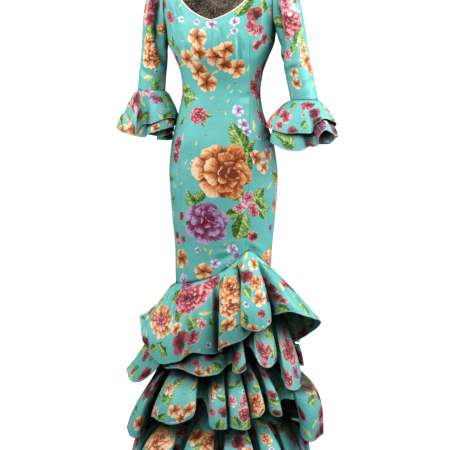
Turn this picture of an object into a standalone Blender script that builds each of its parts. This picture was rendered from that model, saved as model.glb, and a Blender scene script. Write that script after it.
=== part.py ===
"""Flamenco dress: fitted princess-line body, elbow sleeves with double flounced cuffs,
and four flounces on a skirt base.  Metres, +Z up, the front faces -Y.

Left means -X and right means +X, as seen from the front.
The origin lies between the shoulders at their highest point.
"""
import bpy
import bmesh
import math
from mathutils import Vector

for old in list(bpy.data.objects):
    bpy.data.objects.remove(old, do_unlink=True)

# ---------------------------------------------------------------- driving sizes
CLOTH = 0.0015          # wall of the body cloth
FRILL = 0.0012          # wall of the flounce cloth
GAP = 0.0003            # space between two pieces at a seam
SEAM_GAP = 0.00022      # what each panel edge gives up, so two edges stand GAP and a little apart
UNDERARM = -0.215       # height of the underarm point
PRINCESS_TOP = -0.150   # where the princess seam runs into the armhole
CHEST_MID = -0.232      # lower edge of the finely divided chest zone at centre front
SHOULDER_IN = 0.137     # half width of the neck at the shoulder seam
SHOULDER_SLOPE = 0.50   # fall of the shoulder seam per metre outwards
BACK_NECK = -0.060      # low point of the back neckline
PIPING = 0.0021         # radius of the neck piping
NEST_TURN = 3.0         # degrees of a cell when one flounce is nested in the next
NEST_RISE = 0.008       # height of such a cell
NEST_TOP = -0.990       # height where nested flounces are closest
NEST_CLEAR_TOP = 0.0038 # space kept between two nested flounces there
NEST_CLEAR = 0.0115     # and where their folds are full
SEAM_CLEAR = 0.0024     # space of the first flounce from the skirt base at its seam
CUFF_CLEAR = 0.0046     # space kept between the two flounces of a cuff
BODY_CLEAR = 0.0040     # space kept between a cuff flounce and the body panels
BASE_CLEAR = 0.0034     # space kept between a lower flounce and the skirt base
CUFF_START = 0.0020     # height of the cuff seam below the end of the sleeve
SKIRT_ROWS = (0.0, 0.36, 0.70, 1.0)
CUFF_ROWS = (0.0, 0.5, 1.0)
BASE_HEM = -1.400       # lower edge of the skirt base that carries the flounces

# Body sections: height, half width, depth in front, depth behind, offset to the right.
BODY = (
    (-1.420, 0.168, 0.140, 0.140, 0.004),
    (-1.200, 0.152, 0.118, 0.118, 0.004),
    (-0.978, 0.145, 0.104, 0.102, 0.004),
    (-0.930, 0.1465, 0.105, 0.103, 0.005),
    (-0.873, 0.148, 0.105, 0.105, 0.006),
    (-0.777, 0.1565, 0.108, 0.112, 0.006),
    (-0.696, 0.163, 0.110, 0.120, 0.006),
    (-0.645, 0.165, 0.110, 0.122, 0.005),
    (-0.564, 0.1565, 0.108, 0.115, 0.003),
    (-0.507, 0.1415, 0.102, 0.102, 0.000),
    (-0.456, 0.1265, 0.095, 0.090, -0.002),
    (-0.399, 0.118, 0.090, 0.080, 0.000),
    (-0.348, 0.124, 0.100, 0.088, 0.001),
    (-0.300, 0.1415, 0.117, 0.098, 0.001),
    (-0.258, 0.160, 0.123, 0.105, 0.000),
    (-0.215, 0.166, 0.118, 0.108, 0.000),
    (-0.180, 0.178, 0.108, 0.106, 0.000),
    (-0.130, 0.190, 0.094, 0.098, 0.000),
    (-0.090, 0.196, 0.080, 0.087, 0.000),
    (-0.055, 0.200, 0.063, 0.070, 0.000),
    (-0.030, 0.202, 0.046, 0.052, 0.000),
    (-0.014, 0.204, 0.031, 0.035, 0.000),
    (-0.005, 0.205, 0.018, 0.020, 0.000),
    (0.000, 0.206, 0.0003, 0.0003, 0.000),
)
# Armhole: height, half width at the edge of the body.
ARMHOLE = (
    (-0.215, 0.166),
    (-0.170, 0.166),
    (-0.130, 0.165),
    (-0.100, 0.168),
    (-0.050, 0.178),
    (0.000, 0.187),
)
# Princess seam: height, distance from the centre line.
PRINCESS = (
    (-0.978, 0.086),
    (-0.930, 0.087),
    (-0.873, 0.092),
    (-0.777, 0.100),
    (-0.645, 0.104),
    (-0.507, 0.103),
    (-0.399, 0.101),
    (-0.300, 0.104),
    (-0.250, 0.110),
    (-0.215, 0.120),
    (-0.180, 0.141),
    (-0.150, 0.1655),
)
# Front neckline: distance from the centre line, height.
NECK = (
    (0.000, -0.204),
    (0.030, -0.193),
    (0.060, -0.177),
    (0.085, -0.157),
    (0.107, -0.131),
    (0.119, -0.102),
    (0.129, -0.050),
    (0.137, 0.000),
)
# Hip seam of the first flounce: angle from the front centre, height.
HIP_SEAM = (
    (-180.0, -0.978),
    (-90.0, -0.979),
    (-36.0, -0.968),
    (-8.0, -0.951),
    (8.0, -0.931),
    (23.0, -0.903),
    (41.0, -0.868),
    (58.0, -0.890),
    (80.0, -0.922),
    (99.0, -0.938),
    (180.0, -0.978),
)
# Sleeves: height, centre right, centre forward, half width, half depth.
SLEEVE_LEFT = (
    (-0.100, -0.176, 0.000, 0.050, 0.062),
    (-0.150, -0.190, 0.000, 0.046, 0.060),
    (-0.200, -0.199, -0.001, 0.041, 0.056),
    (-0.270, -0.2055, -0.004, 0.038, 0.051),
    (-0.310, -0.2075, -0.008, 0.0395, 0.048),
    (-0.360, -0.2110, -0.012, 0.0405, 0.046),
    (-0.400, -0.2135, -0.015, 0.0410, 0.045),
)
SLEEVE_RIGHT = (
    (-0.100, 0.177, 0.000, 0.050, 0.062),
    (-0.150, 0.193, 0.000, 0.046, 0.060),
    (-0.200, 0.206, -0.001, 0.041, 0.056),
    (-0.270, 0.2205, -0.004, 0.0385, 0.051),
    (-0.320, 0.2300, -0.008, 0.0400, 0.048),
    (-0.370, 0.2410, -0.012, 0.0405, 0.046),
    (-0.430, 0.2540, -0.015, 0.0405, 0.045),
)
# Hems of the flounces, a row for each ridge, wall or trough on the way round:
# angle, reach, height, angle at the seam, fullness.  Angles are from the front centre, to the
# right; the heights of the cuff hems are from the end of the sleeve.
HEM_1 = (
    (-122.0, 0.200, -1.168, -122.0, 1.6),
    (-100.0, 0.240, -1.122, -106.0, 0.9),
    (-77.0, 0.253, -1.080, -92.0, 0.75),
    (-60.0, 0.257, -1.098, -78.0, 0.9),
    (-52.0, 0.258, -1.142, -66.0, 1.5),
    (-42.0, 0.252, -1.180, -54.0, 1.6),
    (-30.0, 0.245, -1.191, -42.0, 1.7),
    (-19.0, 0.244, -1.180, -28.0, 1.8),
    (-10.0, 0.262, -1.152, -15.0, 1.9),
    (-7.0, 0.248, -1.147, -11.0, 1.7),
    (0.0, 0.230, -1.155, -6.0, 1.5),
    (6.0, 0.208, -1.158, -1.0, 1.5),
    (11.5, 0.166, -1.156, 4.0, 0.9),
    (13.0, 0.204, -1.148, 6.5, 1.3),
    (10.5, 0.242, -1.138, 8.0, 1.9),
    (13.5, 0.258, -1.124, 11.0, 2.2),
    (21.0, 0.265, -1.111, 16.0, 2.2),
    (28.5, 0.256, -1.100, 20.0, 2.0),
    (35.0, 0.220, -1.088, 24.0, 1.5),
    (36.0, 0.172, -1.074, 27.0, 0.9),
    (30.0, 0.214, -1.060, 29.0, 1.4),
    (24.5, 0.268, -1.062, 31.0, 2.1),
    (27.5, 0.287, -1.073, 33.0, 2.2),
    (33.5, 0.292, -1.076, 37.0, 2.2),
    (41.0, 0.280, -1.063, 41.0, 2.1),
    (48.5, 0.240, -1.053, 44.0, 1.8),
    (53.5, 0.204, -1.047, 47.0, 1.4),
    (54.0, 0.238, -1.041, 51.0, 1.6),
    (58.0, 0.270, -1.035, 57.0, 1.7),
    (65.0, 0.290, -1.042, 66.0, 1.4),
    (78.0, 0.308, -1.061, 77.0, 1.15),
    (90.0, 0.300, -1.086, 87.0, 1.15),
    (103.0, 0.270, -1.122, 96.0, 1.3),
    (112.0, 0.232, -1.152, 103.0, 1.5),
)
HEM_2 = (
    (-122.0, 0.176, -1.215, -122.0, 1.4),
    (-104.0, 0.236, -1.238, -106.0, 1.1),
    (-86.0, 0.284, -1.236, -94.0, 1.0),
    (-73.0, 0.297, -1.246, -84.0, 0.9),
    (-69.0, 0.286, -1.272, -77.0, 1.0),
    (-61.0, 0.262, -1.270, -71.0, 1.5),
    (-56.0, 0.230, -1.240, -64.0, 1.4),
    (-48.0, 0.206, -1.200, -54.0, 1.4),
    (-40.0, 0.222, -1.194, -46.0, 1.5),
    (-32.0, 0.236, -1.202, -36.0, 1.6),
    (-17.5, 0.242, -1.202, -24.0, 1.6),
    (-7.5, 0.246, -1.207, -14.0, 1.6),
    (1.5, 0.252, -1.214, -4.0, 1.6),
    (10.5, 0.246, -1.206, 5.0, 1.6),
    (17.0, 0.212, -1.184, 12.0, 1.5),
    (23.0, 0.216, -1.175, 17.0, 1.5),
    (28.0, 0.238, -1.181, 21.0, 1.5),
    (28.5, 0.255, -1.190, 24.0, 1.6),
    (24.0, 0.265, -1.203, 27.0, 1.6),
    (20.5, 0.240, -1.197, 30.0, 1.5),
    (23.5, 0.202, -1.160, 33.0, 1.4),
    (28.5, 0.196, -1.135, 35.0, 1.4),
    (31.0, 0.222, -1.124, 38.0, 1.5),
    (33.5, 0.246, -1.134, 42.0, 1.7),
    (35.0, 0.260, -1.156, 46.0, 1.8),
    (38.0, 0.268, -1.183, 50.0, 1.8),
    (43.0, 0.269, -1.191, 54.0, 1.8),
    (49.5, 0.258, -1.177, 58.0, 1.7),
    (56.0, 0.232, -1.156, 62.0, 1.5),
    (62.0, 0.198, -1.150, 66.0, 1.4),
    (61.0, 0.224, -1.190, 70.0, 1.5),
    (58.0, 0.250, -1.235, 74.0, 1.6),
    (58.5, 0.264, -1.260, 77.0, 1.6),
    (64.0, 0.271, -1.268, 81.0, 1.6),
    (72.0, 0.268, -1.262, 86.0, 1.6),
    (86.0, 0.250, -1.240, 92.0, 1.5),
    (98.0, 0.216, -1.225, 98.0, 1.5),
)
HEM_3 = (
    (-100.0, 0.190, -1.362, -100.0, 1.3),
    (-89.0, 0.240, -1.390, -88.0, 1.4),
    (-74.0, 0.286, -1.408, -70.0, 1.4),
    (-59.5, 0.300, -1.410, -59.0, 1.4),
    (-53.5, 0.298, -1.423, -55.5, 1.6),
    (-49.0, 0.288, -1.426, -53.0, 1.7),
    (-52.5, 0.262, -1.417, -51.0, 1.5),
    (-70.0, 0.226, -1.400, -48.0, 1.2),
    (-64.0, 0.216, -1.372, -44.0, 1.2),
    (-38.5, 0.262, -1.352, -36.0, 1.5),
    (-29.5, 0.282, -1.351, -28.5, 1.8),
    (-23.0, 0.286, -1.352, -23.5, 1.9),
    (-15.0, 0.286, -1.350, -17.5, 1.9),
    (-8.5, 0.282, -1.341, -13.0, 1.9),
    (-4.5, 0.276, -1.328, -10.5, 1.8),
    (-3.5, 0.262, -1.312, -9.0, 1.6),
    (-6.5, 0.236, -1.298, -8.0, 1.3),
    (-8.0, 0.206, -1.291, -7.0, 1.1),
    (-5.0, 0.188, -1.290, -6.0, 1.0),
    (-1.0, 0.202, -1.298, -4.0, 1.1),
    (3.0, 0.232, -1.320, 0.0, 1.4),
    (6.0, 0.268, -1.354, 5.0, 1.8),
    (11.0, 0.279, -1.361, 8.0, 1.9),
    (15.0, 0.278, -1.362, 10.5, 1.9),
    (17.0, 0.252, -1.356, 13.0, 1.3),
    (19.0, 0.272, -1.357, 15.5, 1.7),
    (23.5, 0.278, -1.360, 18.0, 1.9),
    (28.0, 0.274, -1.359, 21.0, 1.8),
    (31.5, 0.258, -1.353, 23.5, 1.6),
    (32.5, 0.228, -1.340, 26.0, 1.2),
    (34.0, 0.254, -1.334, 28.5, 1.6),
    (37.0, 0.270, -1.330, 30.5, 1.8),
    (40.5, 0.264, -1.314, 32.5, 1.7),
    (42.5, 0.242, -1.299, 35.0, 1.5),
    (43.0, 0.214, -1.285, 37.5, 1.2),
    (45.5, 0.188, -1.273, 40.0, 1.0),
    (51.0, 0.184, -1.269, 41.5, 1.0),
    (51.5, 0.206, -1.275, 43.0, 1.1),
    (46.5, 0.240, -1.298, 44.0, 1.4),
    (45.5, 0.262, -1.320, 45.0, 1.7),
    (47.5, 0.273, -1.329, 46.0, 1.8),
    (51.0, 0.276, -1.331, 48.0, 1.8),
    (55.5, 0.258, -1.327, 51.0, 1.5),
    (61.0, 0.226, -1.311, 55.0, 1.2),
    (63.5, 0.234, -1.296, 58.0, 1.3),
    (65.0, 0.256, -1.295, 60.0, 1.7),
    (69.0, 0.264, -1.294, 63.0, 1.7),
    (79.0, 0.244, -1.315, 67.0, 1.4),
    (73.0, 0.266, -1.354, 69.5, 1.6),
    (66.0, 0.288, -1.392, 71.0, 2.4),
    (66.5, 0.304, -1.414, 72.5, 2.8),
    (70.5, 0.315, -1.419, 74.5, 3.1),
    (78.0, 0.318, -1.411, 78.0, 3.3),
    (90.0, 0.313, -1.407, 87.0, 3.2),
    (103.0, 0.288, -1.400, 97.0, 2.4),
)
# hems of the cuff flounces, heights from the end of the sleeve
CUFF_UPPER_LEFT = (
    (-150.0, 0.078, -0.104, -142.0, 1.3),
    (-116.0, 0.066, -0.118, -116.0, 1.4),
    (-99.0, 0.074, -0.100, -100.0, 1.5),
    (-84.0, 0.075, -0.076, -86.0, 1.5),
    (-65.0, 0.073, -0.058, -70.0, 1.5),
    (-40.0, 0.073, -0.070, -56.0, 1.5),
    (-22.0, 0.079, -0.088, -43.0, 1.6),
    (-10.0, 0.085, -0.105, -32.0, 1.7),
    (-6.0, 0.089, -0.120, -24.0, 1.8),
    (-9.0, 0.084, -0.130, -18.0, 1.7),
    (-9.0, 0.064, -0.114, -11.0, 1.4),
    (-4.0, 0.047, -0.100, -3.0, 1.2),
    (10.0, 0.045, -0.098, 9.0, 1.1),
    (21.0, 0.064, -0.098, 21.0, 1.4),
    (38.0, 0.078, -0.089, 35.0, 1.7),
    (55.0, 0.077, -0.082, 52.0, 1.7),
    (78.0, 0.080, -0.080, 72.0, 1.6),
    (98.0, 0.091, -0.088, 93.0, 1.5),
    (124.0, 0.088, -0.102, 120.0, 1.5),
    (156.0, 0.072, -0.106, 152.0, 1.3),
    (186.0, 0.084, -0.108, 184.0, 1.4),
)
CUFF_LOWER_LEFT = (
    (-150.0, 0.074, -0.128, -146.0, 1.3),
    (-112.0, 0.084, -0.118, -116.0, 1.4),
    (-75.0, 0.097, -0.108, -88.0, 1.5),
    (-60.0, 0.091, -0.116, -70.0, 1.5),
    (-40.0, 0.083, -0.125, -54.0, 1.5),
    (-22.0, 0.072, -0.131, -38.0, 1.4),
    (-6.0, 0.055, -0.136, -22.0, 1.3),
    (8.0, 0.050, -0.137, -8.0, 1.2),
    (16.0, 0.066, -0.128, 6.0, 1.4),
    (32.0, 0.073, -0.122, 18.0, 1.6),
    (52.0, 0.075, -0.114, 32.0, 1.7),
    (74.0, 0.080, -0.108, 46.0, 1.7),
    (91.0, 0.083, -0.108, 58.0, 1.6),
    (101.0, 0.079, -0.116, 66.0, 1.6),
    (94.0, 0.068, -0.127, 74.0, 1.5),
    (68.0, 0.054, -0.136, 82.0, 1.4),
    (50.0, 0.050, -0.143, 90.0, 1.3),
    (74.0, 0.055, -0.146, 98.0, 1.3),
    (101.0, 0.065, -0.147, 108.0, 1.4),
    (124.0, 0.079, -0.143, 122.0, 1.5),
    (152.0, 0.072, -0.134, 148.0, 1.4),
    (180.0, 0.080, -0.136, 180.0, 1.4),
)
CUFF_UPPER_RIGHT = (
    (-106.0, 0.104, -0.088, -120.0, 1.4),
    (-89.0, 0.121, -0.078, -100.0, 1.5),
    (-76.0, 0.126, -0.076, -86.0, 1.6),
    (-62.0, 0.114, -0.082, -71.0, 1.6),
    (-46.0, 0.103, -0.090, -57.0, 1.6),
    (-30.0, 0.098, -0.093, -43.0, 1.6),
    (-14.0, 0.094, -0.092, -29.0, 1.6),
    (0.0, 0.090, -0.092, -15.0, 1.5),
    (10.0, 0.087, -0.092, -3.0, 1.5),
    (16.0, 0.078, -0.086, 6.0, 1.4),
    (20.0, 0.068, -0.077, 14.0, 1.3),
    (26.0, 0.070, -0.066, 23.0, 1.4),
    (34.0, 0.076, -0.060, 32.0, 1.5),
    (43.0, 0.075, -0.053, 42.0, 1.5),
    (51.0, 0.074, -0.051, 52.0, 1.5),
    (62.0, 0.075, -0.053, 62.0, 1.5),
    (75.0, 0.077, -0.058, 74.0, 1.5),
    (98.0, 0.080, -0.066, 94.0, 1.5),
    (122.0, 0.078, -0.076, 118.0, 1.4),
    (150.0, 0.086, -0.094, 146.0, 1.5),
    (180.0, 0.076, -0.098, 176.0, 1.4),
    (206.0, 0.088, -0.102, 204.0, 1.5),
    (232.0, 0.082, -0.096, 226.0, 1.4),
)
CUFF_LOWER_RIGHT = (
    (-112.0, 0.096, -0.118, -122.0, 1.4),
    (-92.0, 0.117, -0.116, -103.0, 1.4),
    (-76.0, 0.123, -0.118, -88.0, 1.5),
    (-57.0, 0.116, -0.128, -72.0, 1.5),
    (-44.0, 0.107, -0.138, -58.0, 1.5),
    (-31.0, 0.098, -0.143, -44.0, 1.5),
    (-17.0, 0.091, -0.142, -30.0, 1.5),
    (-8.0, 0.083, -0.138, -19.0, 1.4),
    (-4.0, 0.069, -0.133, -10.0, 1.3),
    (0.0, 0.061, -0.130, -2.0, 1.3),
    (12.0, 0.071, -0.131, 8.0, 1.4),
    (20.0, 0.084, -0.124, 17.0, 1.4),
    (22.0, 0.093, -0.106, 25.0, 1.3),
    (30.0, 0.097, -0.090, 32.0, 1.2),
    (38.0, 0.097, -0.083, 39.0, 1.2),
    (48.0, 0.096, -0.089, 46.0, 1.2),
    (57.0, 0.092, -0.100, 52.0, 1.3),
    (61.0, 0.083, -0.112, 58.0, 1.4),
    (55.0, 0.072, -0.119, 64.0, 1.4),
    (43.0, 0.063, -0.121, 70.0, 1.3),
    (36.0, 0.056, -0.119, 76.0, 1.2),
    (52.0, 0.052, -0.114, 84.0, 1.2),
    (74.0, 0.062, -0.106, 92.0, 1.3),
    (92.0, 0.075, -0.101, 100.0, 1.4),
    (110.0, 0.080, -0.102, 112.0, 1.4),
    (132.0, 0.074, -0.112, 132.0, 1.4),
    (156.0, 0.083, -0.126, 154.0, 1.4),
    (184.0, 0.071, -0.128, 182.0, 1.3),
    (210.0, 0.085, -0.130, 208.0, 1.4),
    (234.0, 0.078, -0.124, 228.0, 1.4),
)
# folds out of the camera's sight and on the lower flounces:
# trough, seam, low reach, low height, ridge, top reach, top height, lap
FOLDS_1 = (
    (118.0, 108.0, 0.186, -1.168, 137.0, 0.262, -1.172, 0.5),
    (156.0, 150.0, 0.188, -1.180, 172.0, 0.272, -1.190, 0.7),
    (188.0, 184.0, 0.190, -1.182, 205.0, 0.264, -1.184, 0.6),
    (222.0, 218.0, 0.188, -1.176, 229.0, 0.232, -1.178, 0.3),
)
FOLDS_2 = (
    (108.0, 103.0, 0.174, -1.212, 126.0, 0.264, -1.236, 0.6),
    (144.0, 138.0, 0.172, -1.218, 159.0, 0.272, -1.244, 0.7),
    (174.0, 170.0, 0.174, -1.222, 190.0, 0.264, -1.240, 0.6),
    (206.0, 204.0, 0.174, -1.222, 221.0, 0.268, -1.242, 0.5),
)
FOLDS_3 = (
    (117.0, 111.0, 0.200, -1.396, 131.0, 0.298, -1.446, 0.6),
    (144.0, 141.0, 0.182, -1.392, 157.0, 0.304, -1.450, 0.8),
    (174.0, 173.0, 0.180, -1.372, 189.0, 0.294, -1.416, 0.7),
    (205.0, 205.0, 0.182, -1.370, 222.0, 0.302, -1.420, 0.8),
    (240.0, 240.0, 0.190, -1.368, 250.0, 0.256, -1.404, 0.4),
)
FOLDS_4 = (
    (-88.0, -88.0, 0.204, -1.500, -71.0, 0.282, -1.520, 0.6),
    (-54.0, -54.0, 0.198, -1.496, -34.0, 0.298, -1.520, 0.8),
    (-16.0, -16.0, 0.194, -1.496, -3.0, 0.304, -1.522, 0.9),
    (11.0, 11.0, 0.196, -1.500, 24.0, 0.312, -1.524, 0.8),
    (37.0, 37.0, 0.190, -1.498, 47.0, 0.294, -1.520, 0.9),
    (58.0, 58.0, 0.206, -1.494, 70.0, 0.268, -1.514, 0.6),
    (84.0, 84.0, 0.212, -1.494, 101.0, 0.254, -1.516, 0.5),
    (120.0, 120.0, 0.200, -1.498, 138.0, 0.302, -1.522, 0.8),
    (156.0, 156.0, 0.202, -1.500, 174.0, 0.314, -1.526, 0.7),
    (192.0, 192.0, 0.202, -1.500, 208.0, 0.306, -1.524, 0.8),
    (224.0, 224.0, 0.204, -1.500, 247.0, 0.302, -1.522, 0.5),
)
# Height of the seam of each flounce below the first, which follows the hip seam.
HIP_DROP = -0.0010
SEAM_2 = -1.000
SEAM_3 = -1.150
SEAM_4 = -1.300

# ---------------------------------------------------------------- colours
TURQUOISE = (0.12, 0.47, 0.45, 1.0)
DEEP_TURQUOISE = (0.08, 0.36, 0.36, 1.0)
CREAM = (0.86, 0.82, 0.76, 1.0)
TAUPE = (0.18, 0.14, 0.11, 1.0)


def material(name, colour, roughness):
    mat = bpy.data.materials.new(name)
    mat.use_nodes = True
    node = mat.node_tree.nodes["Principled BSDF"]
    node.inputs["Base Color"].default_value = colour
    node.inputs["Roughness"].default_value = roughness
    return mat


SATIN = material("printed satin", TURQUOISE, 0.55)
FRILL_SATIN = material("printed flounce satin", DEEP_TURQUOISE, 0.55)
PIPING_CLOTH = material("cream piping", CREAM, 0.6)
LINING_CLOTH = material("taupe lining", TAUPE, 0.8)


# ---------------------------------------------------------------- curves from the tables
def mix(a, b, t):
    return a + (b - a) * t


def ease(t):
    t = max(0.0, min(1.0, t))
    return t * t * (3.0 - 2.0 * t)


def along(table, key, column):
    """Smooth value of one column of a table whose first column rises (monotone cubic)."""
    if key <= table[0][0]:
        return table[0][column]
    if key >= table[-1][0]:
        return table[-1][column]
    i = 0
    while table[i + 1][0] < key:
        i += 1

    def slope(k):
        if k <= 0 or k >= len(table) - 1:
            return None
        before = (table[k][column] - table[k - 1][column]) / (table[k][0] - table[k - 1][0])
        after = (table[k + 1][column] - table[k][column]) / (table[k + 1][0] - table[k][0])
        if before * after <= 0.0:
            return 0.0
        return 2.0 * before * after / (before + after)

    x0, x1 = table[i][0], table[i + 1][0]
    y0, y1 = table[i][column], table[i + 1][column]
    span = x1 - x0
    chord = (y1 - y0) / span
    m0 = slope(i)
    m1 = slope(i + 1)
    m0 = chord if m0 is None else m0
    m1 = chord if m1 is None else m1
    t = (key - x0) / span
    h00 = (1.0 + 2.0 * t) * (1.0 - t) ** 2
    h10 = t * (1.0 - t) ** 2
    h01 = t * t * (3.0 - 2.0 * t)
    h11 = t * t * (t - 1.0)
    return h00 * y0 + h10 * span * m0 + h01 * y1 + h11 * span * m1


def body_point(theta, z):
    """Outside of the body cloth at an angle from the front centre and a section height."""
    half = along(BODY, z, 1)
    front = along(BODY, z, 2)
    back = along(BODY, z, 3)
    aside = along(BODY, z, 4)
    c = math.cos(theta)
    depth = mix(back, front, ease(0.5 + 2.0 * c)) if abs(c) < 0.25 else (front if c > 0 else back)
    x = half * math.sin(theta) + aside
    y = -depth * c
    fall = SHOULDER_SLOPE * max(0.0, abs(x) - SHOULDER_IN) * ease((z + 0.20) / 0.17)
    return Vector((x, y, z - fall))


def body_normal(theta, z):
    e = 0.004
    h = 0.0008
    z1 = min(z + h, -0.0001)
    z0 = z1 - 2.0 * h
    across = body_point(theta + e, z) - body_point(theta - e, z)
    upward = body_point(theta, z1) - body_point(theta, z0)
    n = across.cross(upward)
    n.normalize()
    out = Vector((math.sin(theta), -math.cos(theta), 0.0))
    if n.dot(out) + n.z * 0.5 < 0.0:
        n = -n
    return n


def body_angle(x, z):
    half = along(BODY, z, 1)
    aside = along(BODY, z, 4)
    return math.asin(max(-1.0, min(1.0, (x - aside) / half)))


def hip_seam(theta):
    deg = math.degrees(theta)
    while deg > 180.0:
        deg -= 360.0
    while deg < -180.0:
        deg += 360.0
    return along(HIP_SEAM, deg, 1)


# ---------------------------------------------------------------- mesh building
def wall(name, outer, inner, ring, mat, closed_rows=False):
    """Closed wall between two matching grids.  ring joins the last column to the first."""
    rows = len(outer)
    cols = len(outer[0])
    verts = []
    for grid in (outer, inner):
        for row in grid:
            verts.extend(row)
    half = rows * cols

    def at(side, r, c):
        return side * half + r * cols + (c % cols)

    faces = []
    last = cols if ring else cols - 1
    for r in range(rows - 1):
        for c in range(last):
            a, b = at(0, r, c), at(0, r, c + 1)
            d, e = at(0, r + 1, c), at(0, r + 1, c + 1)
            faces.append((a, b, e))
            faces.append((a, e, d))
            a, b = at(1, r, c), at(1, r, c + 1)
            d, e = at(1, r + 1, c), at(1, r + 1, c + 1)
            faces.append((a, e, b))
            faces.append((a, d, e))
    for c in range(last):
        a, b = at(0, 0, c), at(0, 0, c + 1)
        d, e = at(1, 0, c), at(1, 0, c + 1)
        faces.append((a, e, b))
        faces.append((a, d, e))
        a, b = at(0, rows - 1, c), at(0, rows - 1, c + 1)
        d, e = at(1, rows - 1, c), at(1, rows - 1, c + 1)
        faces.append((a, b, e))
        faces.append((a, e, d))
    if not ring:
        for r in range(rows - 1):
            a, b = at(0, r, 0), at(0, r + 1, 0)
            d, e = at(1, r, 0), at(1, r + 1, 0)
            faces.append((a, b, e))
            faces.append((a, e, d))
            a, b = at(0, r, cols - 1), at(0, r + 1, cols - 1)
            d, e = at(1, r, cols - 1), at(1, r + 1, cols - 1)
            faces.append((a, e, b))
            faces.append((a, d, e))
    mesh = bpy.data.meshes.new(name)
    mesh.from_pydata([tuple(v) for v in verts], [], faces)
    bm = bmesh.new()
    bm.from_mesh(mesh)
    bmesh.ops.recalc_face_normals(bm, faces=bm.faces)
    bm.to_mesh(mesh)
    bm.free()
    for poly in mesh.polygons:
        poly.use_smooth = True
    mesh.materials.append(mat)
    obj = bpy.data.objects.new(name, mesh)
    bpy.context.scene.collection.objects.link(obj)
    return obj


def keep_side(p, side):
    """Hold a point on its own side of the shoulder and side seams."""
    if side < 0 and p.y > -SEAM_GAP:
        p.y = -SEAM_GAP
    if side > 0 and p.y < SEAM_GAP:
        p.y = SEAM_GAP
    return p


def body_wall(name, spots, mat, side, thick=CLOTH, lift=0.0):
    """Wall on the body surface from a grid of (angle, height).  side -1 is the front."""
    outer = []
    inner = []
    for row in spots:
        line_out = []
        line_in = []
        for theta, z in row:
            p = body_point(theta, z)
            n = body_normal(theta, z)
            line_out.append(keep_side(p + n * lift, side))
            line_in.append(keep_side(p + n * (lift - thick), side))
        outer.append(line_out)
        inner.append(line_in)
    return wall(name, outer, inner, False, mat)


# ---------------------------------------------------------------- body panels
LOWER_ROWS = (0.0, 0.10, 0.20, 0.31, 0.42, 0.54, 0.66, 0.77, 0.86, 0.94, 1.0)
UPPER_ROWS = (0.22, 0.44, 0.64, 0.80, 0.91, 0.975, 1.0)
FRONT_SHARES = (-1.0, -0.87, -0.7326, -0.62, -0.48, -0.32, -0.15, 0.0,
                0.15, 0.32, 0.48, 0.62, 0.7326, 0.87, 1.0)
BACK_SHARES = (0.0, 0.2, 0.4, 0.58, 0.7326, 0.87, 1.0)
FOOT = {}               # lowest line of each panel, which the skirt base continues


def neck_height(x):
    return along(NECK, abs(x), 1)


def edge_x(z):
    """Half width of the front centre panel: princess seam, then armhole."""
    if z < PRINCESS_TOP:
        return along(PRINCESS, z, 1)
    return along(ARMHOLE, z, 1)


def top_of_column(share, side_x, neck_z):
    """Height where a column that keeps a share of the half width runs into the neckline."""
    if share * side_x(0.0) >= SHOULDER_IN:
        return -0.0001
    low, high = -0.35, 0.0
    for _ in range(40):
        mid = 0.5 * (low + high)
        if mid < neck_z(share * side_x(mid)):
            low = mid
        else:
            high = mid
    return low


def shift(theta, z, distance):
    """Move an angle along the surface by a distance in metres."""
    e = 0.002
    step = (body_point(theta + e, z) - body_point(theta - e, z)).length / (2.0 * e)
    return theta + distance / max(step, 0.02)


def front_centre():
    shares = FRONT_SHARES
    rows = []
    tops = [top_of_column(abs(s), edge_x, neck_height) for s in shares]
    mids = [mix(CHEST_MID, PRINCESS_TOP, abs(s) ** 2.2) for s in shares]
    for f in LOWER_ROWS:
        row = []
        for s, m in zip(shares, mids):
            foot = hip_seam(body_angle(s * along(PRINCESS, -0.94, 1), -0.94)) + SEAM_GAP
            z = mix(foot, m, f)
            theta = body_angle(s * edge_x(z), z)
            if abs(s) == 1.0:
                theta = shift(theta, z, -math.copysign(SEAM_GAP, s))
            row.append((theta, z))
        rows.append(row)
    for f in UPPER_ROWS:
        row = []
        for s, m, t in zip(shares, mids, tops):
            z = mix(m, t, f)
            theta = body_angle(s * edge_x(z), z)
            if abs(s) == 1.0:
                theta = shift(theta, z, -math.copysign(SEAM_GAP, s))
            row.append((theta, z))
        rows.append(row)
    FOOT["front_centre"] = rows[0]
    body_wall("front_centre", rows, SATIN, -1)


def front_side(name, sign):
    shares = (0.0, 0.25, 0.5, 0.75, 1.0)
    rows = []
    for f in LOWER_ROWS:
        row = []
        for s in shares:
            near = body_angle(along(PRINCESS, -0.94, 1), -0.94)
            foot = hip_seam(sign * mix(near, 0.5 * math.pi, s)) + SEAM_GAP
            top = mix(PRINCESS_TOP, UNDERARM, s ** 0.8)
            z = mix(foot, top, f)
            near = body_angle(sign * along(PRINCESS, z, 1), z)
            theta = mix(near, sign * 0.5 * math.pi, s)
            if s == 0.0:
                theta = shift(theta, z, sign * SEAM_GAP)
            if s == 1.0:
                theta = shift(theta, z, -sign * SEAM_GAP)
            row.append((theta, z))
        rows.append(row)
    if sign < 0:
        rows = [list(reversed(r)) for r in rows]
    FOOT[name] = rows[0]
    body_wall(name, rows, SATIN, -1)


def back_edge(z):
    if z < UNDERARM:
        return along(BODY, z, 1)
    return along(ARMHOLE, z, 1)


def back_neck(x):
    t = min(1.0, abs(x) / SHOULDER_IN)
    return BACK_NECK * (1.0 - t ** 3.0)


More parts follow.
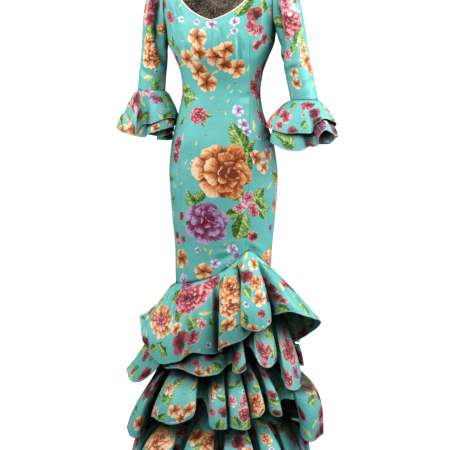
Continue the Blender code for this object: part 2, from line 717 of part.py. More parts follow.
def back_grid(sign, shares, lower, upper, trim):
    rows = []
    tops = [top_of_column(s, back_edge, back_neck) for s in shares]
    mids = [mix(-0.200, UNDERARM, s ** 2.0) for s in shares]
    for part, f in [("low", f) for f in lower] + [("high", f) for f in upper]:
        row = []
        for s, m, t in zip(shares, mids, tops):
            if part == "low":
                foot = hip_seam(sign * mix(math.pi, 0.5 * math.pi, s)) + SEAM_GAP
                z = mix(foot, m, f)
            else:
                z = mix(m, t, f)
            half = along(BODY, z, 1)
            reach = min(1.0, back_edge(z) / half)
            theta = math.pi - math.asin(min(1.0, s * reach))
            if s == 1.0 and z <= UNDERARM + 0.0005:
                theta = 0.5 * math.pi
            if s == 0.0:
                theta = shift(theta, z, -trim)
            if s == 1.0:
                theta = shift(theta, z, trim)
            row.append((sign * theta, z))
        rows.append(row)
    if sign > 0:
        rows = [list(reversed(r)) for r in rows]
    return rows


def back_panel(name, sign):
    shares = BACK_SHARES
    rows = back_grid(sign, shares, LOWER_ROWS, UPPER_ROWS, SEAM_GAP)
    FOOT[name] = rows[0]
    body_wall(name, rows, SATIN, 1)


def back_lining():
    """Lining of the upper back, seen through the neck, just inside the two back panels."""
    shares = (-0.92, -0.7326, -0.5, -0.25, 0.0, 0.25, 0.5, 0.7326, 0.92)
    tops = [top_of_column(abs(s), back_edge, back_neck) - 0.004 for s in shares]
    rows = []
    for f in (0.0, 0.25, 0.5, 0.72, 0.88, 0.96, 1.0):
        row = []
        for s, t in zip(shares, tops):
            z = mix(-0.300, min(t, -0.010), f)
            half = along(BODY, z, 1)
            reach = min(1.0, back_edge(z) / half)
            theta = math.pi + math.asin(max(-1.0, min(1.0, s * reach * 0.96)))
            row.append((theta, z))
        rows.append(row)
    body_wall("back_lining", rows, LINING_CLOTH, 1, 0.0010, -CLOTH - 0.0045)


def neck_edge():
    """Points once round the neck, on the outside of the body cloth."""
    spots = []
    front = [s for s in FRONT_SHARES if abs(s) < 0.74]
    for s in front:
        z = top_of_column(abs(s), edge_x, neck_height)
        spots.append((body_angle(s * edge_x(z), z), z))
    back = [s for s in BACK_SHARES if 0.0 < s < 0.73]
    for s in list(reversed(back)) + [0.0] + [-s for s in back]:
        z = top_of_column(abs(s), back_edge, back_neck)
        spots.append((math.pi - math.asin(s * back_edge(z) / along(BODY, z, 1)), z))
    return spots


def neck_piping():
    """Narrow rolled binding that rides just above the neck edge."""
    line = []
    for theta, z in neck_edge():
        p = body_point(theta, z)
        n = body_normal(theta, z)
        line.append(p - n * (CLOTH * 0.5))
    count = len(line)
    centre = sum(line, Vector()) / count
    sides = 5
    rings = []
    for i in range(count):
        run = (line[(i + 1) % count] - line[i - 1]).normalized()
        theta, z = neck_edge()[i]
        n = body_normal(theta, z)
        n = (n - run * n.dot(run)).normalized()
        rise = run.cross(n).normalized()
        if rise.z < 0.0:
            rise = -rise
        mid = line[i] + rise * (PIPING + 0.0008)
        ring = []
        for k in range(sides):
            a = 2.0 * math.pi * (k + 0.5) / sides
            ring.append(mid + n * (PIPING * math.cos(a)) + rise * (PIPING * math.sin(a)))
        rings.append(ring)
    verts = [tuple(v) for ring in rings for v in ring]
    faces = []
    for i in range(count):
        j = (i + 1) % count
        for k in range(sides):
            m = (k + 1) % sides
            a, b = i * sides + k, i * sides + m
            c, d = j * sides + k, j * sides + m
            faces.append((a, b, d))
            faces.append((a, d, c))
    mesh = bpy.data.meshes.new("neck_piping")
    mesh.from_pydata(verts, [], faces)
    bm = bmesh.new()
    bm.from_mesh(mesh)
    bmesh.ops.recalc_face_normals(bm, faces=bm.faces)
    bm.to_mesh(mesh)
    bm.free()
    for poly in mesh.polygons:
        poly.use_smooth = True
    mesh.materials.append(PIPING_CLOTH)
    bpy.context.scene.collection.objects.link(bpy.data.objects.new("neck_piping", mesh))


# ---------------------------------------------------------------- sleeves
def armhole_point(psi, sign):
    """Edge of the armhole; psi 0 is the shoulder, 90 the front, 180 the underarm."""
    deg = psi % 360.0
    if deg <= 180.0:
        z = mix(-0.0001, UNDERARM, 0.5 - 0.5 * math.cos(math.radians(deg)))
        half = along(BODY, z, 1)
        theta = math.asin(min(1.0, along(ARMHOLE, z, 1) / half))
    else:
        z = mix(-0.0001, UNDERARM, 0.5 - 0.5 * math.cos(math.radians(deg)))
        half = along(BODY, z, 1)
        theta = math.pi - math.asin(min(1.0, along(ARMHOLE, z, 1) / half))
    p = body_point(theta, z)
    return Vector((sign * p.x, p.y, p.z))


def sleeve_point(psi, t, table, sign):
    """t 0 is the armhole and t 1 the cuff seam."""
    start = armhole_point(psi, sign) + Vector((sign * 0.0009, 0.0, 0.0))
    a = math.radians(psi)
    low = table[-1][0]
    drop_in = 0.5 + 0.5 * math.cos(a)
    z = mix(start.z, low, t)
    ordered = tuple(reversed(table))
    cx = along(ordered, z, 1)
    cy = along(ordered, z, 2)
    hw = along(ordered, z, 3)
    hd = along(ordered, z, 4)
    tube = Vector((cx + sign * hw * math.cos(a), cy - hd * math.sin(a), z))
    reach = mix(0.26, 0.42, drop_in)
    blend = ease(t / reach)
    blend = blend ** mix(1.0, 0.62, drop_in)
    return start.lerp(tube, blend)


def sleeve_normal(psi, t, table, sign):
    e = 1.5
    h = 0.004
    t1 = min(1.0, t + h)
    t0 = max(0.0, t - h)
    across = sleeve_point(psi + e, t, table, sign) - sleeve_point(psi - e, t, table, sign)
    down = sleeve_point(psi, t1, table, sign) - sleeve_point(psi, t0, table, sign)
    n = across.cross(down)
    n.normalize()
    a = math.radians(psi)
    out = Vector((sign * math.cos(a), -math.sin(a), 0.3 * math.cos(a)))
    return n if n.dot(out) > 0.0 else -n


def sleeve(name, table, sign):
    steps = 18
    outer = []
    inner = []
    for t in (0.0, 0.07, 0.16, 0.28, 0.44, 0.62, 0.81, 1.0):
        line_out = []
        line_in = []
        for k in range(steps):
            psi = 360.0 * k / steps
            p = sleeve_point(psi, t, table, sign)
            n = sleeve_normal(psi, t, table, sign)
            line_out.append(p)
            line_in.append(p - n * CLOTH)
        outer.append(line_out)
        inner.append(line_in)
    return wall(name, outer, inner, True, SATIN)


# ---------------------------------------------------------------- flounces
def fold_rows(folds, end):
    """Hem rows from fold rows; end is the first row that follows the last fold."""
    rows = []
    for i, fold in enumerate(folds):
        trough, seam, low_r, low_z, ridge, top_r, top_z, lap = fold
        if i + 1 < len(folds):
            nxt = folds[i + 1]
            stop, stop_seam, stop_r, stop_z = nxt[0], nxt[1], nxt[2], nxt[3]
        else:
            stop, stop_seam, stop_r, stop_z = end
        rows.append((trough, low_r, low_z, seam, 1.3))
        sides = ((trough, low_r, low_z, seam), (stop, stop_r, stop_z, stop_seam))
        middle = 0.5 * (seam + stop_seam)
        for k, (side, side_r, side_z, side_seam) in enumerate(sides):
            steps = ((0.26 + 0.10 * lap, 0.50, 0.34), (0.40 - 0.22 * lap, 0.88, 0.60))
            for out, rise, way in steps if k == 0 else reversed(steps):
                rows.append((mix(side, ridge, out), mix(side_r, top_r, rise),
                             mix(side_z, top_z, rise), mix(side_seam, middle, way), 1.6))
            if k == 0:
                rows.append((ridge, top_r, top_z, middle, 1.8))
    return tuple(rows)


def turn_on(row):
    """The row that closes the ring: the first one, a turn further."""
    return (row[0] + 360.0, row[3] + 360.0, row[1], row[2])


def first_fold(folds):
    return (folds[0][0] + 360.0, folds[0][1] + 360.0, folds[0][2], folds[0][3])


HEM_1 = HEM_1 + fold_rows(FOLDS_1, turn_on(HEM_1[0]))
HEM_2 = HEM_2 + fold_rows(FOLDS_2, turn_on(HEM_2[0]))
HEM_3 = HEM_3 + fold_rows(FOLDS_3, turn_on(HEM_3[0]))
HEM_4 = fold_rows(FOLDS_4, first_fold(FOLDS_4))


def ring_curve(rows):
    """Smooth closed curve through the hem rows, as a function of the row number."""
    count = len(rows)

    def row_at(i):
        turn = 360.0 * (i // count)
        angle, reach, height, seam, full = rows[i % count]
        return (angle + turn, reach, height, seam + turn, full)

    def spot(i):
        angle, reach, height, seam, full = row_at(i)
        a = math.radians(angle)
        return Vector((reach * math.sin(a), reach * math.cos(a), height))

    gaps = {}
    for i in range(-2, count + 2):
        gaps[i] = math.sqrt((spot(i + 1) - spot(i)).length) + 1e-6

    def tangent(i, column):
        now = row_at(i)[column]
        before = (now - row_at(i - 1)[column]) / gaps[i - 1]
        after = (row_at(i + 1)[column] - now) / gaps[i]
        return (before * gaps[i] + after * gaps[i - 1]) / (gaps[i - 1] + gaps[i])

    tangents = {}
    for i in range(-1, count + 2):
        tangents[i] = [tangent(i, column) for column in range(5)]

    def at(s):
        i = int(math.floor(s))
        t = s - i
        low = row_at(i)
        high = row_at(i + 1)
        values = []
        for column in range(5):
            m0 = tangents[i][column] * gaps[i]
            m1 = tangents[i + 1][column] * gaps[i]
            values.append((1.0 + 2.0 * t) * (1.0 - t) ** 2 * low[column]
                          + t * (1.0 - t) ** 2 * m0
                          + t * t * (3.0 - 2.0 * t) * high[column]
                          + t * t * (t - 1.0) * m1)
        return values

    return at


def skirt_frill_point(curve, s, t, seam_z, clear, start, fall, ripple):
    """Point of a flounce: s goes round by hem rows, t goes from the seam to the hem.

    start is the share of the fall where the folds leave the valley line.
    """
    angle, reach, hem_z, seam, full = curve(s)
    top_angle = math.radians(seam)
    top_z = hip_seam(top_angle) + HIP_DROP if seam_z is None else seam_z
    part = max(0.0, (t - start) / (1.0 - start))
    swell = 1.0 - (1.0 - part) ** (full * fall)
    z = mix(top_z, hem_z, t)
    clear = mix(SEAM_CLEAR if seam_z is None else clear, clear, ease(t * 3.0))
    half = along(BODY, top_z, 1) + clear
    front = along(BODY, top_z, 2) + clear
    aside = along(BODY, max(z, -1.2), 4)
    a, b, c = ripple
    wave = 0.6 * math.sin(top_angle * a + b) + 0.4 * math.sin(top_angle * (a * 1.7) + c)
    reach += 0.0035 * wave
    z += 0.0030 * t * t * math.sin(top_angle * (a * 1.3) + c + 1.0)
    hem_angle = math.radians(angle)
    x = mix(half * math.sin(top_angle), reach * math.sin(hem_angle), swell)
    y = mix(-front * math.cos(top_angle), -reach * 0.90 * math.cos(hem_angle), swell)
    return Vector((aside + x, y, z))


def hem_columns(point, count, longest, widest):
    """Row numbers of the columns: every hem row, and more where two rows are far apart."""
    columns = []
    for i in range(count):
        hem = (point(i + 1.0 - 1e-6, 1.0) - point(i, 1.0)).length
        top = (point(i + 1.0 - 1e-6, 0.0) - point(i, 0.0)).length
        parts = max(1, math.ceil(hem / longest - 0.05), math.ceil(top / widest - 0.05))
        for k in range(parts):
            columns.append(i + k / parts)
    return columns


def frill_grid(point, columns, rows):
    grid = []
    normals = []
    for t in rows:
        line = []
        norm = []
        for s in columns:
            e = 0.06
            h = 0.02
            t1 = min(1.0, t + h)
            t0 = max(0.0, t - h)
            n = (point(s, t1) - point(s, t0)).cross(point(s + e, t) - point(s - e, t))
            n.normalize()
            line.append(point(s, t))
            norm.append(n)
        grid.append(line)
        normals.append(norm)
    return grid, normals


def frill(name, point, columns, rows, thick, mat):
    grid, normals = frill_grid(point, columns, rows)
    centre = sum((p for p in grid[-1]), Vector()) / len(grid[-1])
    mean = sum(((p - centre).normalized().dot(n)) for p, n in zip(grid[-1], normals[-1]))
    sign = 1.0 if mean > 0.0 else -1.0
    inner = []
    for line, norm in zip(grid, normals):
        inner.append([p - n * (sign * thick) for p, n in zip(line, norm)])
    wall(name, grid, inner, True, mat)
    return inner


def turn_of(p, axis):
    return math.degrees(math.atan2(p.x - axis[0], -(p.y - axis[1])))


def room_inside(grid, axis):
    """Smallest reach of a faceted wall from an upright axis, by angle and height."""
    cells = {}
    count = len(grid[0])
    for j in range(len(grid) - 1):
        for i in range(count):
            corners = (grid[j][i], grid[j][(i + 1) % count],
                       grid[j + 1][i], grid[j + 1][(i + 1) % count])
            for a in range(7):
                for b in range(13):
                    high = corners[0].lerp(corners[1], a / 6.0)
                    low = corners[2].lerp(corners[3], a / 6.0)
                    p = high.lerp(low, b / 12.0)
                    key = (int(math.floor(turn_of(p, axis) / NEST_TURN)),
                           int(math.floor(p.z / NEST_RISE)))
                    reach = math.hypot(p.x - axis[0], p.y - axis[1])
                    if reach < cells.get(key, 9.0):
                        cells[key] = reach
    return cells


def keep_inside(p, cells, axis, clear, near):
    """Draw a point in until it lies inside the flounce above it.

    near: how many cells to either side it keeps clear of.
    """
    turn = int(math.floor(turn_of(p, axis) / NEST_TURN))
    level = int(math.floor(p.z / NEST_RISE))
    limit = 9.0
    whole = int(round(360.0 / NEST_TURN))
    for a in range(-near, near + 1):
        for b in range(-1, 6):
            wide = (turn + a + whole // 2) % whole - whole // 2
            limit = min(limit, cells.get((wide, level + b), 9.0))
    limit -= clear
    reach = math.hypot(p.x - axis[0], p.y - axis[1])
    if reach > limit:
        share = limit / reach
        p = Vector((mix(axis[0], p.x, share), mix(axis[1], p.y, share), p.z))
    return p


def keep_off_body(p, clear):
    """Push a point out until it is clear of the body."""
    half = along(BODY, p.z, 1) + clear
    front = along(BODY, p.z, 2 if p.y < 0.0 else 3) + clear
    aside = along(BODY, p.z, 4)
    near = math.hypot((p.x - aside) / half, p.y / front)
    if near < 1.0:
        p = Vector((aside + (p.x - aside) / near, p.y / near, p.z))
    return p


def skirt_frill(name, hem, seam_z, clear, start, fall, ripple, above=None):
    curve = ring_curve(hem)
    axis = (0.0, 0.0)

    def point(s, t):
        p = skirt_frill_point(curve, s % len(hem), t, seam_z, clear, start, fall, ripple)
        if above:
            space = mix(NEST_CLEAR_TOP, NEST_CLEAR, ease((NEST_TOP - p.z) / 0.12))
            p = keep_inside(p, above, axis, space, 4)
            p = keep_off_body(p, BASE_CLEAR)
        return p

    columns = hem_columns(point, len(hem), 0.085, 0.034)
    return room_inside(frill(name, point, columns, SKIRT_ROWS, FRILL, FRILL_SATIN), axis)


def cuff_frill(name, hem, sleeve_table, clear, above=None, near=5):
    last = sleeve_table[-1]
    before = sleeve_table[-2]
    lean_x = (last[1] - before[1]) / (last[0] - before[0])
    lean_y = (last[2] - before[2]) / (last[0] - before[0])
    axis = (last[1] - 0.05 * lean_x, last[2] - 0.05 * lean_y)
    curve = ring_curve(hem)

    def point(s, t):
        angle, reach, drop, seam, full = curve(s % len(hem))
        swell = 1.0 - (1.0 - t) ** full
        fall = mix(-CUFF_START, drop, t)
        top = math.radians(seam)
        low = math.radians(angle)
        half = last[3] + clear
        depth = last[4] + clear
        x = mix(half * math.sin(top), reach * math.sin(low), swell)
        y = mix(-depth * math.cos(top), -reach * math.cos(low), swell)
        p = Vector((last[1] + lean_x * fall + x, last[2] + lean_y * fall + y, last[0] + fall))
        if above:
            p = keep_inside(p, above, axis, CUFF_CLEAR, near)
        return keep_off_body(p, BODY_CLEAR)

    columns = hem_columns(point, len(hem), 0.050, 0.016)
    return room_inside(frill(name, point, columns, CUFF_ROWS, FRILL, FRILL_SATIN), axis)


def foot_ring():
    """Angles and heights once round the foot of the panels, from the back centre."""
    ring = []
    for name in ("back_left", "front_side_left", "front_centre", "front_side_right", "back_right"):
        spots = [(theta % (2.0 * math.pi), z) for theta, z in FOOT[name]]
        spots = [(theta - 2.0 * math.pi if theta > math.pi else theta, z) for theta, z in spots]
        spots.sort()
        if ring and abs(ring[-1][0] - spots[0][0]) < 0.02:
            first = ring.pop()
            ring.append((0.5 * (first[0] + spots[0][0]), 0.5 * (first[1] + spots[0][1])))
            spots = spots[1:]
        ring.extend(spots)
    ring[0] = (-math.pi, ring[0][1])
    return ring[:-1]


def skirt_base():
    """Tube under the flounces, from the hip seam down."""
    ring = foot_ring()
    outer = []
    inner = []
    for f in (0.0, 0.25, 0.6, 1.0):
        line_out = []
        line_in = []
        for theta, foot in ring:
            z = mix(foot - 5.0 * SEAM_GAP, BASE_HEM, f)
            p = body_point(theta, z)
            n = body_normal(theta, z)
            line_out.append(p)
            line_in.append(p - n * CLOTH)
        outer.append(line_out)
        inner.append(line_in)
    wall("skirt_base", outer, inner, True, SATIN)


# ---------------------------------------------------------------- the dress
front_centre()
front_side("front_side_left", -1.0)
front_side("front_side_right", 1.0)
back_panel("back_left", -1.0)
back_panel("back_right", 1.0)
back_lining()
neck_piping()
sleeve("sleeve_left", SLEEVE_LEFT, -1.0)
sleeve("sleeve_right", SLEEVE_RIGHT, 1.0)
room = cuff_frill("cuff_flounce_upper_left", CUFF_UPPER_LEFT, SLEEVE_LEFT, 0.0062)
cuff_frill("cuff_flounce_lower_left", CUFF_LOWER_LEFT, SLEEVE_LEFT, 0.0026, room)
room = cuff_frill("cuff_flounce_upper_right", CUFF_UPPER_RIGHT, SLEEVE_RIGHT, 0.0062)
cuff_frill("cuff_flounce_lower_right", CUFF_LOWER_RIGHT, SLEEVE_RIGHT, 0.0026, room, 2)
skirt_base()
room = skirt_frill("flounce_1", HEM_1, None, 0.0085, 0.0, 1.0, (9.0, 0.3, 1.1))
room = skirt_frill("flounce_2", HEM_2, SEAM_2, 0.0060, 0.0, 0.9, (11.0, 1.3, 0.4), room)
room = skirt_frill("flounce_3", HEM_3, SEAM_3, 0.0048, 0.10, 1.0, (13.0, 2.3, 3.4), room)
skirt_frill("flounce_4", HEM_4, SEAM_4, 0.0036, 0.20, 1.3, (12.0, 0.9, 2.2), room)
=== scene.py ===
"""Looks of the flamenco dress: draped cloth shells, flower print, piping and lining."""
import math
import bpy
import bmesh
import numpy as np
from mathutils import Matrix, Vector
from mathutils.bvhtree import BVHTree


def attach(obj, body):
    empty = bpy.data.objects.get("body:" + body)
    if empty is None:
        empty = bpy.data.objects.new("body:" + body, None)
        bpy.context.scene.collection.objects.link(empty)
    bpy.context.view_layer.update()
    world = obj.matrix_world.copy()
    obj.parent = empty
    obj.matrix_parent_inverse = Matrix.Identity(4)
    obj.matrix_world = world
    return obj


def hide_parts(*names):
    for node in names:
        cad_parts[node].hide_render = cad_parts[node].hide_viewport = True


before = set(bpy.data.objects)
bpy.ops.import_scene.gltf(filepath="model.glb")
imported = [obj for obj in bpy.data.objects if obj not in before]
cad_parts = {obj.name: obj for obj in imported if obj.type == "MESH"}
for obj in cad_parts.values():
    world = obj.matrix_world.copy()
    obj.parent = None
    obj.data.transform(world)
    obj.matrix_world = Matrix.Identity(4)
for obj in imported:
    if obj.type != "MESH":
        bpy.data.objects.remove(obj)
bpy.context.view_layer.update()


def metres(rows, columns):
    """A table with some columns written in mm, turned into metres."""
    return tuple(tuple(v / 1000.0 if k in columns else v for k, v in enumerate(row))
                 for row in rows)


# ------------------------------------------------------------------ sizes, as in the part
CLOTH = 0.0015
FRILL = 0.0012
SEAM_GAP = 0.00006      # half of the line between two panels
SLEEVE_GAP = 0.0006     # between an armhole and its sleeve
UNDERARM = -0.215
PRINCESS_TOP = -0.150
CHEST_MID = -0.232
BACK_MID = -0.200
SHOULDER_IN = 0.137
SHOULDER_SLOPE = 0.50
SHOULDER_SHARE = 0.7326     # where the neck ends, as a share of the panel's half width
PANEL_FOOT = -0.94      # height at which the columns of the front panels are set out
BACK_NECK = -0.060
BASE_HEM = -1.400
CREASE_WIDTH = 1.25     # creases are this much wider and deeper than their tables say
CREASE_DEPTH = 1.9

# height, half width, depth in front, depth behind, offset to the right
BODY = metres((
    (-1420, 168, 140, 140, 4), (-1200, 152, 118, 118, 4), (-978, 145, 104, 102, 4),
    (-930, 146.5, 105, 103, 5), (-873, 148, 105, 105, 6), (-777, 156.5, 108, 112, 6),
    (-696, 163, 110, 120, 6), (-645, 165, 110, 122, 5), (-564, 156.5, 108, 115, 3),
    (-507, 141.5, 102, 102, 0), (-456, 126.5, 95, 90, -2), (-399, 118, 90, 80, 0),
    (-348, 124, 100, 88, 1), (-300, 141.5, 117, 98, 1), (-258, 160, 123, 105, 0),
    (-215, 166, 118, 108, 0), (-180, 178, 108, 106, 0), (-130, 190, 94, 98, 0),
    (-90, 196, 80, 87, 0), (-55, 200, 63, 70, 0), (-30, 202, 46, 52, 0), (-14, 204, 31, 35, 0),
    (-5, 205, 18, 20, 0), (0, 206, 0.3, 0.3, 0),
), (0, 1, 2, 3, 4))
# height, half width
ARMHOLE = metres((
    (-215, 166), (-170, 166), (-130, 165), (-100, 168), (-50, 178), (0, 187),
), (0, 1))
# height, distance from the centre line
PRINCESS = metres((
    (-978, 86), (-930, 87), (-873, 92), (-777, 100), (-645, 104), (-507, 103), (-399, 101),
    (-300, 104), (-250, 110), (-215, 120), (-180, 141), (-150, 165.5),
), (0, 1))
# distance from the centre line, height
NECK = metres((
    (0, -204), (30, -193), (60, -177), (85, -157), (107, -131), (119, -102), (129, -50), (137, 0),
), (0, 1))
# angle, height
HIP_SEAM = metres((
    (-180, -978), (-90, -979), (-36, -968), (-8, -951), (8, -931), (23, -903), (41, -868),
    (58, -890), (80, -922), (99, -938), (180, -978),
), (1,))
# creases of the body: angle and height of both ends, half width, depth
CREASES = metres((
    (-38.9, -144, -32.4, -200, 0.005, 0.0028), (-49.7, -157, -44.9, -217, 0.0055, 0.003),
    (-35.6, -241, -34.8, -282, 0.006, 0.002), (2.3, -223, 4.4, -267, 0.0035, 0.0016),
    (6.3, -212, 6.3, -244, 0.003, 0.0013), (10, -221, 15.1, -268, 0.0038, 0.0018),
    (28.5, -245, 34.6, -319, 0.0042, 0.003), (33.1, -256, 37, -292, 0.0036, 0.0016),
    (42.6, -175, 50.9, -227, 0.0065, 0.003), (66, -245, 56, -296, 0.007, 0.0024),
    (-66, -250, -54, -300, 0.007, 0.0024), (-60, -402, -25, -419, 0.008, 0.0014),
    (62, -414, 36, -425, 0.008, 0.0016), (80, -575, 68, -560, 0.006, 0.0026),
    (-76, -660, -48, -672, 0.008, 0.0012), (26.3, -865, 2.4, -898, 0.008, 0.0024),
    (26.1, -850, 6.7, -863, 0.006, 0.0016), (37.7, -854, 60.8, -883, 0.007, 0.0022),
    (150, -372, 205, -386, 0.01, 0.0028), (160, -412, 215, -404, 0.009, 0.0024),
    (142, -448, 190, -456, 0.009, 0.0022), (128, -180, 146, -240, 0.008, 0.0026),
    (232, -170, 214, -232, 0.008, 0.0026), (120, -660, 150, -688, 0.009, 0.0018),
), (1, 3))
# creases of the sleeves: turn from the shoulder line over the front and share of the
# length at both ends, half width, depth
CREASES_LEFT = metres((
    (48, 0.06, 152, 0.33, 9, 10.5), (84, 0.21, 168, 0.56, 8, 8), (30, 0.16, 96, 0.42, 6, 3.4),
    (150, 0.64, 62, 0.74, 6, 3), (20, 0.78, 110, 0.86, 6, 2.2), (-60, 0.14, -150, 0.38, 8, 5),
    (-150, 0.6, -60, 0.7, 6, 3),
), (4, 5))
CREASES_RIGHT = metres((
    (58, 0.05, 158, 0.32, 8, 8), (90, 0.26, 170, 0.52, 7, 5), (40, 0.34, 120, 0.48, 6, 2.2),
    (160, 0.64, 70, 0.72, 6, 2.8), (10, 0.84, 90, 0.9, 6, 1.8), (-60, 0.14, -150, 0.36, 8, 5),
    (-150, 0.62, -60, 0.71, 6, 3),
), (4, 5))
# height, centre right, centre forward, half width, half depth
SLEEVE_LEFT = metres((
    (-100, -176, 0, 50, 62), (-150, -190, 0, 46, 60), (-200, -199, -1, 41, 56),
    (-270, -205.5, -4, 38, 51), (-310, -207.5, -8, 39.5, 48), (-360, -211, -12, 40.5, 46),
    (-400, -213.5, -15, 41, 45),
), (0, 1, 2, 3, 4))
SLEEVE_RIGHT = metres((
    (-100, 177, 0, 50, 62), (-150, 193, 0, 46, 60), (-200, 206, -1, 41, 56),
    (-270, 220.5, -4, 38.5, 51), (-320, 230, -8, 40, 48), (-370, 241, -12, 40.5, 46),
    (-430, 254, -15, 40.5, 45),
), (0, 1, 2, 3, 4))

# ------------------------------------------------------------------ camera, light, floor
PICTURE = 450.0         # pixels across the frame
AZIMUTH = math.radians(15.0)
REACH = 3.6             # from the camera to the point it looks at
RISE = 0.35             # how much higher than that point it stands
AIM_ASIDE = 0.0105
AIM_HEIGHT = -0.80
FLOOR_HEIGHT = -1.56
WHITE = (1.0, 1.0, 1.0, 1.0)
# name, place, height of the target, width, height, watts
LIGHTS = (
    ("left", (-1.8, -1.0, 0.7), -0.3, 1.1, 1.3, 27.0),
    ("right", (1.7, -0.5, 0.8), -0.3, 1.0, 1.2, 21.0),
    ("rim", (1.9, 0.15, -0.1), -0.4, 0.8, 1.2, 22.0),
    ("front", (-0.2, -1.4, 0.3), -0.3, 0.9, 0.9, 11.0),
)
# the room's soft light, bright in front, weaker below and nearly none behind:
# axis (1 forward, 2 up), from, to, strength at both
ROOM_LIGHT = ((1, 0.95, 0.05, 0.12, 0.28), (2, -0.3, 0.7, 0.32, 1.25))


def add_object(name, data):
    """An object of the scene that carries a camera, light or mesh."""
    obj = bpy.data.objects.new(name, data)
    bpy.context.scene.collection.objects.link(obj)
    return obj


def make_camera():
    tilt = math.asin(RISE / REACH)
    aim = Vector((AIM_ASIDE * math.cos(AZIMUTH), AIM_ASIDE * math.sin(AZIMUTH), AIM_HEIGHT))
    look = Vector((-math.sin(AZIMUTH) * math.cos(tilt), math.cos(AZIMUTH) * math.cos(tilt),
                   -math.sin(tilt)))
    data = bpy.data.cameras.new("camera")
    data.lens = 96.0
    data.sensor_width = 36.0
    data.clip_end = 60.0
    cam = add_object("camera", data)
    cam.location = aim - look * REACH
    cam.rotation_euler = look.to_track_quat("-Z", "Y").to_euler()
    bpy.context.scene.camera = cam
    return cam


def area_light(name, place, target, width, height, watts):
    data = bpy.data.lights.new(name, "AREA")
    data.shape = "RECTANGLE"
    data.size = width
    data.size_y = height
    data.energy = watts
    lamp = add_object(name, data)
    lamp.location = place
    way = Vector((0.0, 0.0, target)) - Vector(place)
    lamp.rotation_euler = way.to_track_quat("-Z", "Y").to_euler()


def make_world():
    """White to the camera's eye, ROOM_LIGHT on the cloth."""
    scene = bpy.context.scene
    scene.view_settings.view_transform = "Standard"
    scene.view_settings.look = "Medium High Contrast"
    world = bpy.data.worlds.new("studio")
    world.use_nodes = True
    tree = world.node_tree
    back = tree.nodes["Background"]
    back.inputs["Color"].default_value = WHITE
    seen = tree.nodes.new("ShaderNodeBackground")
    seen.inputs["Color"].default_value = WHITE
    seen.inputs["Strength"].default_value = 1.0
    way = tree.nodes.new("ShaderNodeTexCoord")
    parts = tree.nodes.new("ShaderNodeSeparateXYZ")
    tree.links.new(way.outputs["Generated"], parts.inputs[0])
    product = tree.nodes.new("ShaderNodeMath")
    product.operation = "MULTIPLY"
    for axis, *ends in ROOM_LIGHT:
        level = tree.nodes.new("ShaderNodeMapRange")
        for word, value in zip(("From Min", "From Max", "To Min", "To Max"), ends):
            level.inputs[word].default_value = value
        tree.links.new(parts.outputs[axis], level.inputs["Value"])
        tree.links.new(level.outputs[0], product.inputs[axis - 1])
    tree.links.new(product.outputs[0], back.inputs["Strength"])
    path = tree.nodes.new("ShaderNodeLightPath")
    choose = tree.nodes.new("ShaderNodeMixShader")
    tree.links.new(path.outputs["Is Camera Ray"], choose.inputs[0])
    tree.links.new(back.outputs[0], choose.inputs[1])
    tree.links.new(seen.outputs[0], choose.inputs[2])
    tree.links.new(choose.outputs[0], tree.nodes["World Output"].inputs[0])
    scene.world = world


def make_floor():
    mesh = bpy.data.meshes.new("floor")
    mesh.from_pydata([(x, y, FLOOR_HEIGHT) for x, y in ((-9, -7), (9, -7), (9, 40), (-9, 40))],
                     [], [(0, 1, 2, 3)])
    mat = bpy.data.materials.new("pale floor")
    mat.use_nodes = True
    node = mat.node_tree.nodes["Principled BSDF"]
    node.inputs["Base Color"].default_value = (0.82, 0.82, 0.82, 1.0)
    node.inputs["Roughness"].default_value = 0.9
    node.inputs["Specular IOR Level"].default_value = 0.0
    node.inputs["Emission Color"].default_value = WHITE
    node.inputs["Emission Strength"].default_value = 0.72
    mesh.materials.append(mat)
    floor = add_object("floor", mesh)
    floor.visible_diffuse = False
    floor.visible_glossy = False


CAMERA = make_camera()
make_world()
make_floor()
for light in LIGHTS:
    area_light(*light)


# ------------------------------------------------------------------ curves from the tables
def mix(a, b, t):
    return a + (b - a) * t


def ease(t):
    """Smooth step from 0 to 1."""
    t = np.clip(t, 0.0, 1.0)
    return t * t * (3.0 - 2.0 * t)


def wrap(a, period):
    """Nearest way round: a plus or minus whole periods."""
    return (a + 0.5 * period) % period - 0.5 * period


def dense(table, column, count=4000):
    """A smooth curve through one column of a table, as two arrays for np.interp."""
    keys = np.array([row[0] for row in table])
    vals = np.array([row[column] for row in table])
    chord = np.diff(vals) / np.diff(keys)
    slope = np.zeros(len(keys))
    slope[0] = chord[0]
    slope[-1] = chord[-1]
    for i in range(1, len(keys) - 1):
        if chord[i - 1] * chord[i] > 0.0:
            slope[i] = 2.0 * chord[i - 1] * chord[i] / (chord[i - 1] + chord[i])
    x = np.linspace(keys[0], keys[-1], count)
    i = np.clip(np.searchsorted(keys, x, side="right") - 1, 0, len(keys) - 2)
    span = keys[i + 1] - keys[i]
    t = (x - keys[i]) / span
    y = ((1 + 2 * t) * (1 - t) ** 2 * vals[i] + t * (1 - t) ** 2 * span * slope[i]
         + t * t * (3 - 2 * t) * vals[i + 1] + t * t * (t - 1) * span * slope[i + 1])
    return x, y


CURVES = {}


def along(table, key, column):
    """Value of a column of a table, by smooth steps between its rows."""
    mark = (id(table), column)
    if mark not in CURVES:
        CURVES[mark] = dense(table, column)
    x, y = CURVES[mark]
    return np.interp(key, x, y)


def hip_seam(theta):
    """Height of the hip seam at an angle from the front centre."""
    deg = (np.degrees(theta) + 180.0) % 360.0 - 180.0
    return along(HIP_SEAM, deg, 1)


